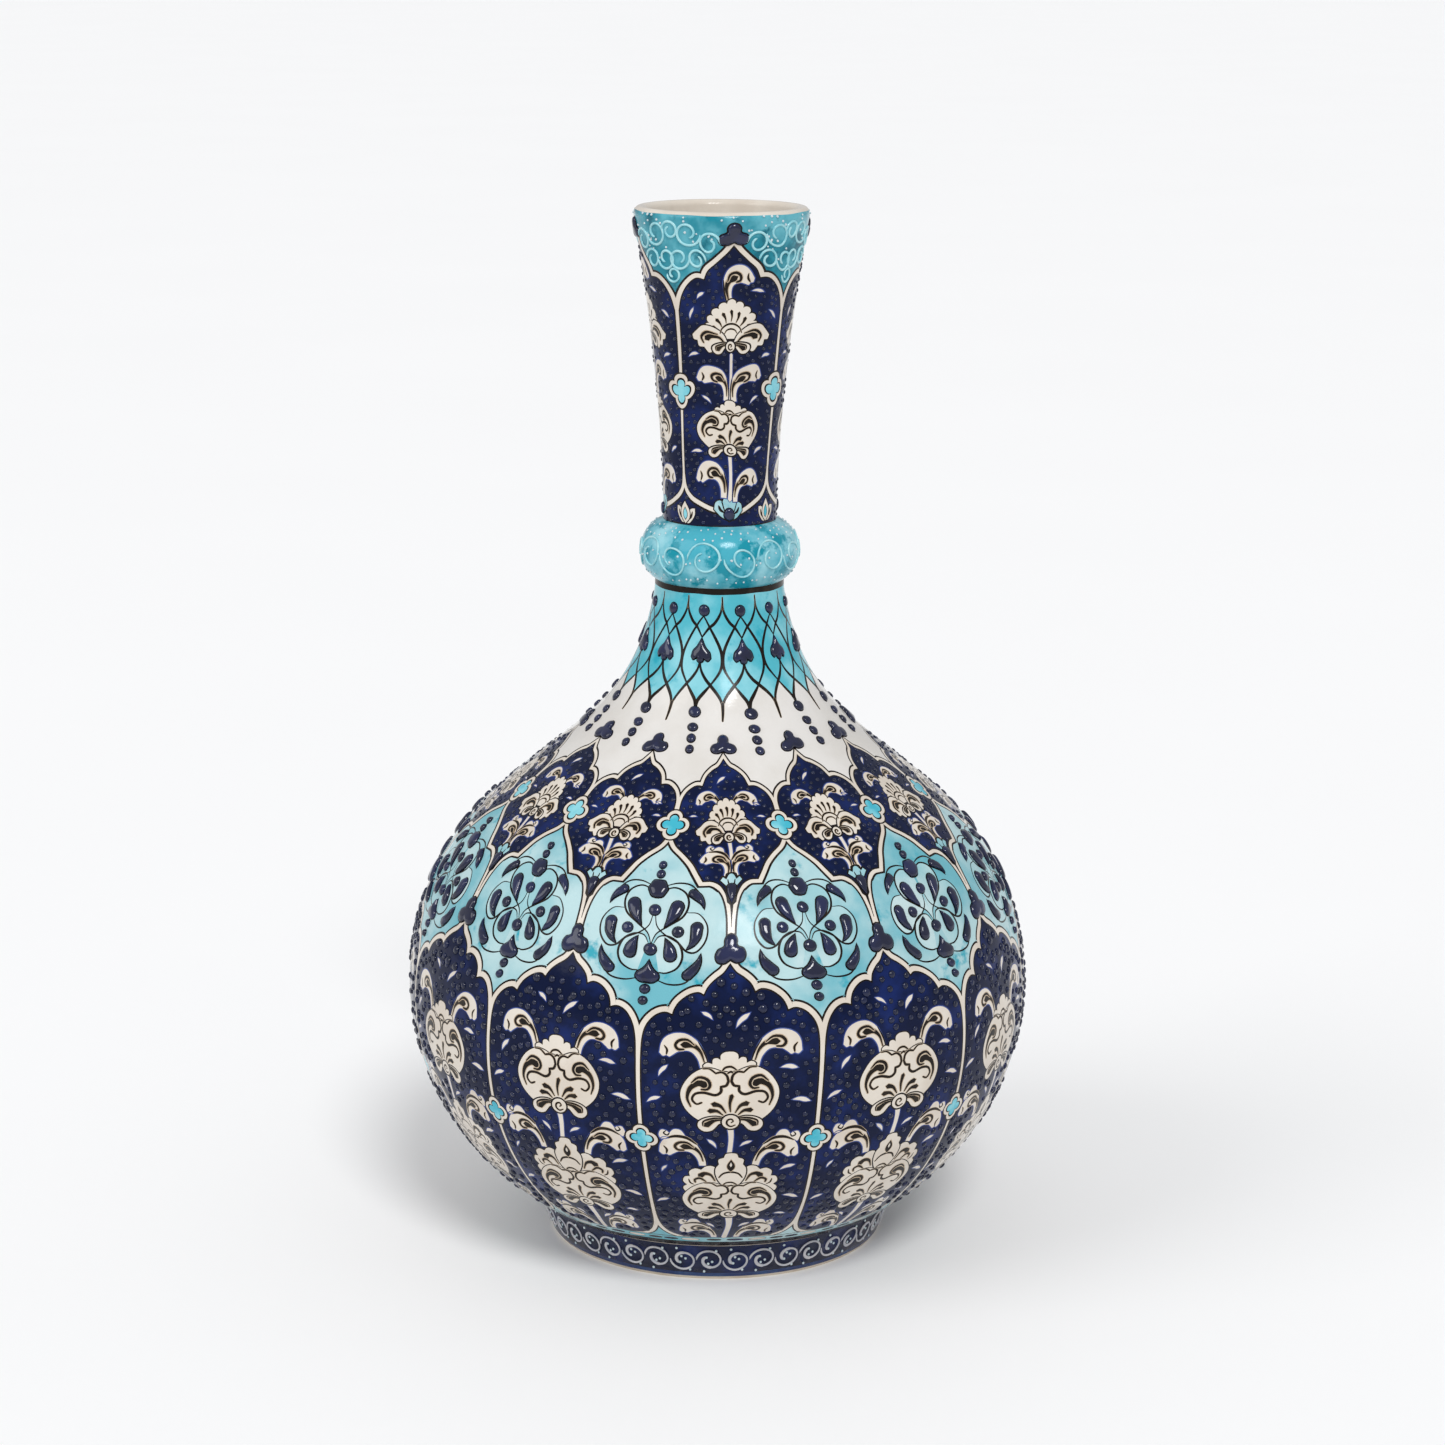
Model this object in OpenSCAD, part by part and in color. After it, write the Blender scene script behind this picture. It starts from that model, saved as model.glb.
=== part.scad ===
// Long-necked pottery bottle vase with applied relief, in millimetres.
// +Z is up and the origin is the centre of the foot's resting face.
// The clay is thrown in sections that are luted together: a foot ring, two halves
// of the belly, the cone under the neck, the flared neck, and the bead round the joint.
// The relief is applied on top: beads, hearts, trefoils and drops of raised slip.

/* [Belly] */
// Radius of the belly at its widest
belly_r = 120; // [116:1:124]
// Height of the widest point above the table
belly_z = 101; // [99:1:103]
// Half of the belly's full vertical axis
belly_half_h = 105.6; // [104:0.2:107]
// Thickness of the belly's wall
belly_wall = 6; // [5:0.5:7]
// Height of the underside of the floor, inside the foot ring
floor_z = 8; // [7:0.5:9]
// Thickness of the floor
floor_t = 7; // [6:0.5:8]

/* [Foot] */
// Outer radius of the foot ring where it rests
foot_r = 65; // [64:0.5:66]
// Outer radius of the foot ring at its top
foot_top_r = 69; // [68:0.5:70]
// Width of the foot ring's resting face
foot_land = 7; // [6:0.5:8]
// Bevel round the resting face
foot_bevel = 0.8; // [0.5:0.1:1]

/* [Shoulder and cone] */
// Height where the belly turns into the shoulder's sweep
sweep_z = 175; // [173:1:177]
// Height where the sweep ends, under the neck
cone_top_z = 256; // [254:1:258]
// Outer radius where the sweep ends
cone_top_r = 24.6; // [24:0.2:25]

/* [Neck] */
// Height of the joint between cone and neck
joint_z = 262; // [261:0.5:263]
// Height of the neck's narrowest point
waist_z = 283; // [282:0.5:284]
// Outer radius at the narrowest point
waist_r = 21.5; // [21:0.1:22]
// Outer radius of the mouth
mouth_r = 33.4; // [32:0.2:35]
// Height of the whole vase
total_h = 400; // [396:1:404]
// How late the neck flares
flare = 1.71; // [1.5:0.01:1.9]
// Thickness of the neck's wall
neck_wall = 5; // [4.5:0.1:5.5]

/* [Collar] */
// Height of the middle of the collar bead
collar_z = 270.3; // [270:0.1:271]
// Radius of the centre of the collar's oval section
collar_mid_r = 19.2; // [19:0.1:19.4]
// Half width of the collar's oval section
collar_half_w = 11; // [10.6:0.1:11.4]
// Half height of the collar's oval section
collar_half_h = 12.4; // [12.2:0.1:12.6]

/* [Relief] */
// Number of sectors round the belly
sectors = 12; // [12]
// Number of panels round the neck
neck_panels = 4; // [4]
// Turn of the neck's panels against the belly's sectors, in degrees
neck_turn = 6; // [0:1:10]
// Height of a bead of slip over the clay
bead_h = 0.9; // [0.7:0.1:1.1]
// Height of a heart, trefoil or drop over the clay
heart_h = 1.2; // [1:0.1:1.4]

/* [Hidden] */
$fn = 96;

clay = [0.93, 0.91, 0.87];
cobalt = [0.07, 0.08, 0.25];
turquoise = [0.24, 0.68, 0.76];
sector_turn = 360 / sectors;
neck_panel_turn = 360 / neck_panels;

// ---- Profile of the clay ----

// How many straight steps make each stretch of the outline
low_steps = 18;
high_steps = 12;
sweep_steps = 20;
neck_steps = 22;
lip_steps = 8;

function belly_angle(z) = asin((z - belly_z) / belly_half_h);
function belly_point(a) = [belly_r * cos(a), belly_z + belly_half_h * sin(a)];
// Change of radius with height at an angle on the belly's oval
function belly_slope(a) = -belly_r * sin(a) / (belly_half_h * cos(a));
function cubic(p, t) = pow(1 - t, 3) * p[0] + 3 * pow(1 - t, 2) * t * p[1]
                     + 3 * (1 - t) * t * t * p[2] + pow(t, 3) * p[3];

floor_angle = belly_angle(floor_z);
sweep_angle = belly_angle(sweep_z);
sweep_start = belly_point(sweep_angle);
// Lengths of the sweep's two handles, along the height, and its slope at the top
sweep_low_handle = 28.65;
sweep_high_handle = 44.6;
cone_top_slope = 0.16;
sweep = [sweep_start,
         sweep_start + sweep_low_handle * [belly_slope(sweep_angle), 1],
         [cone_top_r + cone_top_slope * sweep_high_handle, cone_top_z - sweep_high_handle],
         [cone_top_r, cone_top_z]];

low_points = [for (i = [0:low_steps]) belly_point(floor_angle * (1 - i / low_steps))];
high_points = [for (i = [1:high_steps]) belly_point(sweep_angle * i / high_steps)];
sweep_points = [for (i = [1:sweep_steps]) cubic(sweep, i / sweep_steps)];
outer = concat(low_points, high_points, sweep_points, [[cone_top_r, joint_z]]);

// The wall is thicker at the cone's top, where the neck stands on it
function wall_at(z) = lookup(z, [[sweep_z, belly_wall], [joint_z, 7.6]]);
function unit(v) = v / norm(v);
// Outward direction at one point of an outline that is listed upwards
function outward(p, i) =
    let (d = unit(p[min(i + 1, len(p) - 1)] - p[max(i - 1, 0)])) [d[1], -d[0]];
inner = [for (i = [0:len(outer) - 1]) outer[i] - wall_at(outer[i][1]) * outward(outer, i)];

widest_step = low_steps;
// The step at which the upper belly ends and the cone begins
cone_step = low_steps + high_steps + 7;
last_step = len(outer) - 1;

function stretch(p, from, to) = [for (i = [from:to]) p[i]];
function reversed(p) = [for (i = [len(p) - 1:-1:0]) p[i]];

function neck_r(z) = waist_r + (mouth_r - waist_r) * pow(max(z - waist_z, 0) / (total_h - waist_z), flare);
lip_r = neck_wall / 2;
lip_z = total_h - lip_r;
neck_points = [for (i = [0:neck_steps]) let (z = waist_z + (lip_z - waist_z) * i / neck_steps) [neck_r(z), z]];
lip_points = [for (i = [1:lip_steps - 1]) let (a = 180 * i / lip_steps)
              [neck_r(lip_z) - lip_r + lip_r * cos(a), lip_z + lip_r * sin(a)]];

// ---- Clay sections ----

module turned(points) {
    rotate_extrude() polygon(points);
}

// Ring under the belly; its top follows the belly's underside
module foot_ring() {
    top_angle = -acos(foot_top_r / belly_r);
    seat = [for (i = [0:6]) belly_point(top_angle + (floor_angle - top_angle) * i / 6)];
    inside_r = foot_r - foot_land;
    color(clay)
        turned(concat([[inside_r + foot_bevel, 0], [foot_r - foot_bevel, 0], [foot_r, foot_bevel]],
                      seat, [[inside_r - 1, floor_z], [inside_r, foot_bevel]]));
}

module lower_belly() {
    floor_top = floor_z + floor_t;
    inside = [for (p = stretch(inner, 0, widest_step)) if (p[1] > floor_top + 1) p];
    color(clay)
        turned(concat([[0, floor_z]], stretch(outer, 0, widest_step), reversed(inside),
                      [[inside[0][0] - 5, floor_top], [0, floor_top]]));
}

module shell(from, to) {
    turned(concat(stretch(outer, from, to), reversed(stretch(inner, from, to))));
}

module upper_belly() {
    color(clay) shell(widest_step, cone_step);
}

module shoulder_cone() {
    color(clay) shell(cone_step, last_step);
}

// Flared neck; a straight spigot under the waist stands on the cone's top
module neck_tube() {
    inside = [for (p = reversed(neck_points)) [p[0] - neck_wall, p[1]]];
    color(clay)
        turned(concat([[waist_r - neck_wall, joint_z], [waist_r, joint_z]], neck_points, lip_points, inside));
}

// Bead round the joint, against the spigot and over the cone's top edge
module neck_collar() {
    low = acos((cone_top_r - collar_mid_r) / collar_half_w);
    high = acos((waist_r - collar_mid_r) / collar_half_w);
    steps = 24;
    bulge = [for (i = [0:steps]) let (a = -low + (low + high) * i / steps)
             [collar_mid_r + collar_half_w * cos(a), collar_z + collar_half_h * sin(a)]];
    color(turquoise) turned(concat(bulge, [[waist_r, joint_z], [cone_top_r, joint_z]]));
}

// ---- Relief ----

// Distance along an outline from its first point to each of its points
function walked(p, i = 0, sum = 0) =
    i == len(p) - 1 ? [sum] : concat([sum], walked(p, i + 1, sum + norm(p[i + 1] - p[i])));

// The belly's outline from just over the foot up, measured along the surface
start_z = 16.4;
start_angle = belly_angle(start_z);
wall_line = concat([for (i = [0:40]) belly_point(start_angle + (sweep_angle - start_angle) * i / 40)],
                   [for (i = [1:40]) cubic(sweep, i / 40)]);
neck_line = neck_points;

// Radius and height at a distance along an outline
function line_at(line, s) =
    let (d = walked(line), n = len(line) - 1)
    [lookup(s, [for (i = [0:n]) [d[i], line[i][0]]]), lookup(s, [for (i = [0:n]) [d[i], line[i][1]]])];

// Stands children on the surface: their X runs round the vase, Y up it and Z outwards
module on_wall(line, turn, s) {
    p = line_at(line, s);
    along = unit(line_at(line, s + 1) - line_at(line, s - 1));
    rotate([0, 0, turn - 90]) translate([p[0], 0, p[1]])
        rotate([0, atan2(along[1], -along[0]), 0]) rotate([0, 0, 90]) on_clay() children();
}

// Keeps what stands above the surface; the flat underside is pressed in a little
press = 0.12;
module on_clay() {
    intersection() {
        children();
        translate([-9, -9, -press]) cube([18, 18, 6]);
    }
}

// Radius of the sphere whose cap is half_w wide each way and h high
function cap_r(half_w, h) = (half_w * half_w + h * h) / (2 * h);

module dome(half_w, h) {
    translate([0, 0, h - cap_r(half_w, h)]) sphere(cap_r(half_w, h));
}

// A drop with its round end at the centre and its point along X
module drop(long, half_w, h) {
    round_r = cap_r(half_w, h);
    steps = 5;
    side = concat([[0, -round_r]],
                  [for (i = [1:steps]) round_r * [cos(90 - 90 * i / steps), -sin(90 - 90 * i / steps)]],
                  [[round_r - h, long], [0, long]]);
    translate([0, 0, h - round_r]) rotate([0, 90, 0]) rotate([0, 0, 90]) rotate_extrude() polygon(side);
}

// Three lobes, the third one up
module trefoil(size, h) {
    for (side = [-1, 1]) translate([0.5 * size * side, -0.3 * size, 0]) dome(0.52 * size, h);
    translate([0, 0.45 * size, 0]) dome(0.5 * size, h);
}

module round_wall(turn = 0) {
    for (i = [0:sectors - 1]) rotate([0, 0, i * sector_turn + turn]) children();
}

// Trefoil over the point of each tall arch
module arch_trefoils() {
    color(cobalt) round_wall() on_wall(wall_line, 0, 146.5) trefoil(5.2, heart_h);
}

medallion_r = 105;
// Turn of a point that lies u round the surface from a medallion's middle
function medallion_turn(u) = sector_turn / 2 + u / medallion_r * 180 / PI;

module medallion_beads() {
    middle = [[0, 178.7, 1.4], [0, 175, 1.5], [0, 161, 1.8], [0, 146.4, 1.9], [0, 132, 1.5], [0, 127.8, 1.3]];
    sides = [for (side = [-1, 1]) [8.7 * side, 153.4, 1.8]];
    color(cobalt) round_wall()
        for (b = concat(middle, sides)) on_wall(wall_line, medallion_turn(b[0]), b[1]) dome(b[2], bead_h);
}

// Ten drops in each medallion: round end, point and half width of each on one side
module medallion_drops() {
    one_side = [[8.2, 163.2, 4.6, 155.6, 2.3], [6.9, 144.6, 4.6, 150.6, 2.0], [15.3, 154.6, 12.0, 147.2, 2.1],
                [14.3, 167.4, 18.0, 161.8, 1.9], [12.9, 138.2, 16.6, 144.2, 1.8]];
    color(cobalt) round_wall() for (side = [-1, 1]) for (d = one_side) {
        long = norm([d[2] - d[0], d[3] - d[1]]);
        on_wall(wall_line, medallion_turn(side * d[0]), d[1])
            rotate([0, 0, atan2(d[3] - d[1], side * (d[2] - d[0]))]) drop(long, d[4], heart_h);
    }
}

module medallion_hearts() {
    color(cobalt) round_wall() {
        on_wall(wall_line, medallion_turn(0), 169.6) dome(3.4, heart_h);
        on_wall(wall_line, medallion_turn(0), 137.8) dome(3.1, heart_h);
    }
}

// Drop in the point under each short arch
module tip_drops() {
    color(cobalt) round_wall() on_wall(wall_line, 0, 167.6) rotate([0, 0, -90]) drop(4.4, 1.4, bead_h);
}

module shoulder_trefoils() {
    color(cobalt) round_wall() on_wall(wall_line, 0, 232.3) trefoil(4.6, heart_h);
}

module pendant_beads() {
    color(cobalt) round_wall(sector_turn / 2)
        for (b = [[246, 2.1], [239.6, 1.7], [234.8, 1.4], [230, 1.3]])
            on_wall(wall_line, 0, b[0]) dome(b[1], bead_h);
}

module cone_hearts() {
    color(cobalt) round_wall(sector_turn / 2) on_wall(wall_line, 0, 270.2) {
        for (side = [-1, 1]) translate([1.7 * side, -0.8, 0]) dome(1.7, heart_h);
        translate([0, 1.4, 0]) dome(1.8, heart_h);
    }
}

module cone_beads() {
    color(cobalt) round_wall(sector_turn / 2) on_wall(wall_line, 0, 285.4) dome(1.9, bead_h);
}

module round_neck() {
    for (i = [0:neck_panels - 1]) rotate([0, 0, i * neck_panel_turn + neck_turn]) children();
}

module neck_trefoils() {
    color(cobalt) round_neck() on_wall(neck_line, 0, 108.8) trefoil(5.2, heart_h);
}

module neck_tip_beads() {
    color(cobalt) round_neck() on_wall(neck_line, 0, 3.6) dome(2.2, bead_h);
}

foot_ring();
lower_belly();
upper_belly();
shoulder_cone();
neck_tube();
neck_collar();
arch_trefoils();
medallion_beads();
medallion_drops();
medallion_hearts();
tip_drops();
shoulder_trefoils();
pendant_beads();
cone_hearts();
cone_beads();
neck_trefoils();
neck_tip_beads();
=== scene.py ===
import math
from contextlib import contextmanager

import bmesh
import bpy
import numpy as np
from mathutils import Matrix, Vector
from mathutils.geometry import delaunay_2d_cdt


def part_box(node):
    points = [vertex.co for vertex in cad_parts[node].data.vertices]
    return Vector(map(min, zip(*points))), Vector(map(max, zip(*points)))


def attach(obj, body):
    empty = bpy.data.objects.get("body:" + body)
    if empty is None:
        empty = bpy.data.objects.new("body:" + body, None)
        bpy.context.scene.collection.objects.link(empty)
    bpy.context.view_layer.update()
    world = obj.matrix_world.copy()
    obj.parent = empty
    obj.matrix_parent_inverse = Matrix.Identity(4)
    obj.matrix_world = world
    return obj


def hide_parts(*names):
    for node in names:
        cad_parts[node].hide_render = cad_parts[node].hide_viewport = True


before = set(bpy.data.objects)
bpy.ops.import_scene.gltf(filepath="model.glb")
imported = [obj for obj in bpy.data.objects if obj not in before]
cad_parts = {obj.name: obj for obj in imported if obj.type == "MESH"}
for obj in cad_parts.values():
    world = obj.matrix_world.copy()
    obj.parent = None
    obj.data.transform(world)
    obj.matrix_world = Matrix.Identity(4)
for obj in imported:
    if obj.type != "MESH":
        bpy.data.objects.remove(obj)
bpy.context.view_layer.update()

MM = 0.001
TAU = 2 * math.pi


# ---------------------------------------------------------------- the clay's sizes, in millimetres

def reach(node):
    """Widest radius, lowest and highest point of a CAD node."""
    low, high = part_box(node)
    return max(high.x, high.y) / MM, low.z / MM, high.z / MM


BELLY_R = 120.0
BELLY_Z = reach("lower_belly")[2]
BELLY_HALF_H = 105.6
WALL = 6.0
CONE_TOP_WALL = 7.6
FLOOR_Z = reach("lower_belly")[1]
FLOOR_THICK = 7.0
FOOT_TOP = 16.4
SWEEP_Z = 175.0
CONE_TOP_Z = 256.0
CONE_TOP_R = 24.6
NECK_FOOT_Z = 283.0
WAIST_R = 21.5
MOUTH_R = 33.4
TOTAL_H = reach("neck_tube")[2]
FLARE = 1.71
LIP_THICK = 5.0
LIP_R = LIP_THICK / 2
LIP_TURN = 62.0
COLLAR_Z = 270.3
COLLAR_MID_R = 19.2
COLLAR_HALF_W = 11.0
COLLAR_HALF_H = 12.4
FOOT_R = 65.0
FOOT_LAND = 7.0
FOOT_BEVEL = 0.8
JOINT_Z = 262.0

SECTORS = 12
NECK_PANELS = 4
NECK_TURN = 6.0
COLLAR_PAIRS = 7
FOOT_PAIRS = 21
HALF_SECTOR = 180 / SECTORS
HALF_PANEL = 180 / NECK_PANELS

# Radius of the clay where each part of the decoration is set out
SHORT_PANEL_R = 80
MEDALLION_R = 105
SHOULDER_R = 48
PENDANT_R = 42
LATTICE_R = 35
NECK_PANEL_R = 27
RIM_R = 31
COLLAR_R = 30
FOOT_RING_R = 67

# Gaps in metres: points closer than these are joined
SEAM_GAP = 2e-6
SLIVER = 1e-7


class ClayLine:
    """An outline of the clay from bottom to top, measured along its surface."""

    def __init__(self, points):
        self.points = np.array(points, float)
        steps = np.linalg.norm(np.diff(self.points, axis=0), axis=1)
        self.walk = np.concatenate([[0], np.cumsum(steps)])
        self.length = self.walk[-1]
        along = np.gradient(self.points, self.walk, axis=0)
        along /= np.linalg.norm(along, axis=1)[:, None]
        self.outward = np.stack([along[:, 1], -along[:, 0]], axis=1)

    def at(self, s):
        """Radius and height at a distance along the outline."""
        return np.stack([np.interp(s, self.walk, self.points[:, k]) for k in (0, 1)], axis=-1)

    def out_at(self, s):
        n = np.stack([np.interp(s, self.walk, self.outward[:, k]) for k in (0, 1)], axis=-1)
        return n / np.linalg.norm(n, axis=-1, keepdims=True)

    def at_height(self, z):
        """Distance along the outline of a height."""
        return float(np.interp(z, self.points[:, 1], self.walk))


def belly_outline(low, steps=260):
    """The belly's oval, then the sweep up to the neck."""
    a, b = (math.asin((z - BELLY_Z) / BELLY_HALF_H) for z in (low, SWEEP_Z))
    turn = np.linspace(a, b, steps)
    oval = np.stack([BELLY_R * np.cos(turn), BELLY_Z + BELLY_HALF_H * np.sin(turn)], axis=1)
    slope = -BELLY_R * math.sin(b) / (BELLY_HALF_H * math.cos(b))
    low_handle, high_handle, top_slope = 28.65, 44.6, 0.16
    handles = [oval[-1], oval[-1] + low_handle * np.array([slope, 1]),
               np.array([CONE_TOP_R + top_slope * high_handle, CONE_TOP_Z - high_handle]),
               np.array([CONE_TOP_R, CONE_TOP_Z])]
    t = np.linspace(0, 1, steps)[1:, None]
    sweep = ((1 - t) ** 3 * handles[0] + 3 * (1 - t) ** 2 * t * handles[1]
             + 3 * (1 - t) * t * t * handles[2] + t ** 3 * handles[3])
    spigot = np.array([[CONE_TOP_R, CONE_TOP_Z + 4]])
    return np.concatenate([oval, sweep, spigot])


def neck_outline(steps=200):
    """The neck's flare from its narrow foot, then the rounded lip."""
    z = np.linspace(NECK_FOOT_Z, TOTAL_H - LIP_R, steps)
    r = WAIST_R + (MOUTH_R - WAIST_R) * ((z - NECK_FOOT_Z) / (TOTAL_H - NECK_FOOT_Z)) ** FLARE
    turn = np.radians(np.linspace(0, LIP_TURN, 9)[1:])
    lip = np.stack([r[-1] - LIP_R + LIP_R * np.cos(turn), TOTAL_H - LIP_R + LIP_R * np.sin(turn)], axis=1)
    return np.concatenate([[[WAIST_R, NECK_FOOT_Z - 6]], np.stack([r, z], axis=1), lip])


def collar_outline(steps=90):
    """The outer part of the collar's oval, from the cone round to the neck."""
    low = -math.acos((CONE_TOP_R - COLLAR_MID_R) / COLLAR_HALF_W)
    high = math.acos((WAIST_R - COLLAR_MID_R) / COLLAR_HALF_W)
    turn = np.linspace(low, high, steps)
    return np.stack([COLLAR_MID_R + COLLAR_HALF_W * np.cos(turn),
                     COLLAR_Z + COLLAR_HALF_H * np.sin(turn)], axis=1)


def foot_outline():
    """The bevel and the leaning side of the foot ring."""
    return np.array([[FOOT_R - FOOT_BEVEL, 0], [FOOT_R, FOOT_BEVEL], [70.0, 15.6], [70.6, FOOT_TOP]])


belly_line = ClayLine(belly_outline(FOOT_TOP))
neck_line = ClayLine(neck_outline())
collar_line = ClayLine(collar_outline())
foot_line = ClayLine(foot_outline())


# ---------------------------------------------------------------- glazes

class Value:
    """A socket's number, with Python's operators for its Math nodes."""

    def __init__(self, finish, socket):
        self.finish, self.socket = finish, socket

    def _math(self, operation, a, b):
        return self.finish.number("ShaderNodeMath", {"operation": operation}, {0: a, 1: b})

    def __add__(self, other):
        return self._math("ADD", self, other)

    __radd__ = __add__

    def __mul__(self, other):
        return self._math("MULTIPLY", self, other)

    __rmul__ = __mul__


class Finish:
    """A material under construction."""

    def __init__(self, name):
        self.material = bpy.data.materials.new(name)
        self.material.use_nodes = True
        self.tree = self.material.node_tree
        self.shader = self.tree.nodes["Principled BSDF"]

    def node(self, kind, settings=None, sockets=None):
        made = self.tree.nodes.new(kind)
        for key, value in (settings or {}).items():
            setattr(made, key, value)
        for key, value in (sockets or {}).items():
            self.feed(made.inputs[key], value)
        return made

    def feed(self, socket, value):
        if isinstance(value, Value):
            value = value.socket
        if isinstance(value, bpy.types.NodeSocket):
            self.tree.links.new(value, socket)
        else:
            socket.default_value = value

    def number(self, kind, settings=None, sockets=None):
        return Value(self, self.node(kind, settings, sockets).outputs[0])

    def place(self):
        return self.node("ShaderNodeTexCoord").outputs["Object"]

    def noise(self, scale, detail, rough=0.5):
        """Soft noise from 0 to 1; scale counts its waves in a metre."""
        return self.number("ShaderNodeTexNoise", {}, {"Vector": self.place(), "Scale": scale,
                                                      "Detail": detail, "Roughness": rough})

    def between(self, value, low, high):
        """0 below low and 1 above high, with a soft step."""
        return self.number("ShaderNodeMapRange", {"interpolation_type": "SMOOTHSTEP"},
                           {"Value": value, "From Min": low, "From Max": high})

    def blend(self, amount, first, second):
        made = self.node("ShaderNodeMix", {"data_type": "RGBA"}, {"Factor": amount})
        for socket, value in zip((made.inputs[6], made.inputs[7]), (first, second)):
            self.feed(socket, (*value, 1) if isinstance(value, tuple) else value)
        return made.outputs[2]


def glaze(name, main, pool, pools=30, spread=(0.4, 0.65), stain=None, stains=(0.6, 0.75), gloss=0.1,
          shine=0.4, ripple=0.05):
    """A fired glaze: two tones where it pools, a stain, and a soft ripple in its gloss."""
    finish = Finish(name)
    tone = finish.blend(finish.between(finish.noise(pools, 4, 0.55), *spread), main, pool)
    grain = finish.noise(900, 3, 0.6)
    tone = finish.blend(0.12 * grain, tone, tuple(0.6 * c for c in main))
    if stain:
        tone = finish.blend(finish.between(finish.noise(95, 5, 0.6), *stains), tone, stain)
    finish.feed(finish.shader.inputs["Base Color"], tone)
    finish.feed(finish.shader.inputs["Roughness"], gloss + 0.10 * finish.noise(140, 4, 0.6))
    finish.shader.inputs["Specular IOR Level"].default_value = shine
    height = finish.noise(70, 2, 0.5) + 0.18 * finish.noise(420, 2, 0.5)
    bump = finish.node("ShaderNodeBump", {}, {"Height": height, "Strength": ripple * 4, "Distance": 0.0012})
    finish.feed(finish.shader.inputs["Normal"], bump.outputs[0])
    return finish.material


GLAZES = {
    "white": glaze("cream_white_glaze", (0.71, 0.65, 0.57), (0.64, 0.57, 0.49), 45,
                   stain=(0.50, 0.40, 0.30), stains=(0.68, 0.84), shine=0.25),
    "shoulder_white": glaze("shoulder_white_glaze", (0.71, 0.685, 0.655), (0.65, 0.62, 0.58), 30, gloss=0.07,
                            shine=0.25),
    "turquoise": glaze("turquoise_glaze", (0.15, 0.43, 0.50), (0.46, 0.64, 0.66), 24, (0.36, 0.60),
                       stain=(0.03, 0.33, 0.42), stains=(0.56, 0.72), shine=0.12),
    "pale_turquoise": glaze("pale_turquoise_glaze", (0.31, 0.55, 0.59), (0.54, 0.68, 0.69), 28, shine=0.12),
    "bright_turquoise": glaze("bright_turquoise_glaze", (0.05, 0.42, 0.54), (0.26, 0.62, 0.69), 90,
                              shine=0.25),
    "rim_turquoise": glaze("rim_turquoise_glaze", (0.010, 0.22, 0.29), (0.13, 0.44, 0.52), 60, (0.38, 0.66),
                           stain=(0.004, 0.13, 0.18), stains=(0.50, 0.64), shine=0.2),
    "collar_turquoise": glaze("collar_turquoise_glaze", (0.06, 0.38, 0.48), (0.32, 0.63, 0.70), 60,
                              (0.38, 0.66),
                              stain=(0.006, 0.25, 0.33), stains=(0.51, 0.60), shine=0.25),
    "cone_turquoise": glaze("cone_turquoise_glaze", (0.08, 0.43, 0.52), (0.24, 0.58, 0.65), 45, (0.38, 0.62),
                            stain=(0.025, 0.34, 0.44), stains=(0.56, 0.70), shine=0.15),
    "cobalt": glaze("cobalt_glaze", (0.004, 0.008, 0.034), (0.009, 0.021, 0.11), 60, (0.45, 0.72), gloss=0.08,
                    shine=0.10),
    "blue": glaze("thin_blue_glaze", (0.015, 0.04, 0.15), (0.03, 0.08, 0.22), 80, gloss=0.12, shine=0.15),
    "cobalt_edge": glaze("thin_cobalt_edge", (0.025, 0.045, 0.20), (0.07, 0.11, 0.30), 150, shine=0.15),
    "line": glaze("brown_black_line", (0.009, 0.006, 0.004), (0.026, 0.018, 0.011), 160, (0.5, 0.7),
                  gloss=0.18,
                  shine=0.15),
    "stain": glaze("brown_line_edge", (0.44, 0.33, 0.22), (0.57, 0.47, 0.35), 200, gloss=0.15, shine=0.25),
    "boss": glaze("raised_cobalt_slip", (0.008, 0.010, 0.032), (0.012, 0.017, 0.065), 120, gloss=0.05,
                  shine=0.5,
                  ripple=0.08),
    "bead": glaze("cobalt_slip_beads", (0.005, 0.008, 0.028), (0.007, 0.012, 0.05), 150, gloss=0.04,
                  shine=0.42),
    "slip": glaze("pale_trailed_slip", (0.36, 0.66, 0.70), (0.22, 0.56, 0.63), 200, gloss=0.12),
    "foot_slip": glaze("cream_trailed_slip", (0.56, 0.55, 0.57), (0.44, 0.45, 0.50), 200, gloss=0.12),
    "dots": glaze("white_slip_dots", (0.60, 0.70, 0.72), (0.50, 0.60, 0.64), 300, gloss=0.12),
    "clay": glaze("bare_fired_clay", (0.68, 0.60, 0.50), (0.58, 0.49, 0.39), 120, gloss=0.62, shine=0.5,
                  ripple=0.2,
                  stain=(0.42, 0.30, 0.20), stains=(0.6, 0.8)),
}
GLAZE_ORDER = list(GLAZES)


# ---------------------------------------------------------------- drawing on the flat layout

def curve(*points, step=0.8):
    """A smooth open line through points (Catmull-Rom)."""
    p = np.array(points, float)
    p = np.concatenate([[2 * p[0] - p[1]], p, [2 * p[-1] - p[-2]]])
    out = []
    for a, b, c, d in zip(p, p[1:], p[2:], p[3:]):
        n = max(3, int(np.linalg.norm(c - b) / step))
        t = np.arange(n)[:, None] / n
        out.append(0.5 * (2 * b + (c - a) * t + (2 * a - 5 * b + 4 * c - d) * t ** 2
                          + (3 * b - a - 3 * c + d) * t ** 3))
    return np.concatenate([*out, [p[-2]]])


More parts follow.
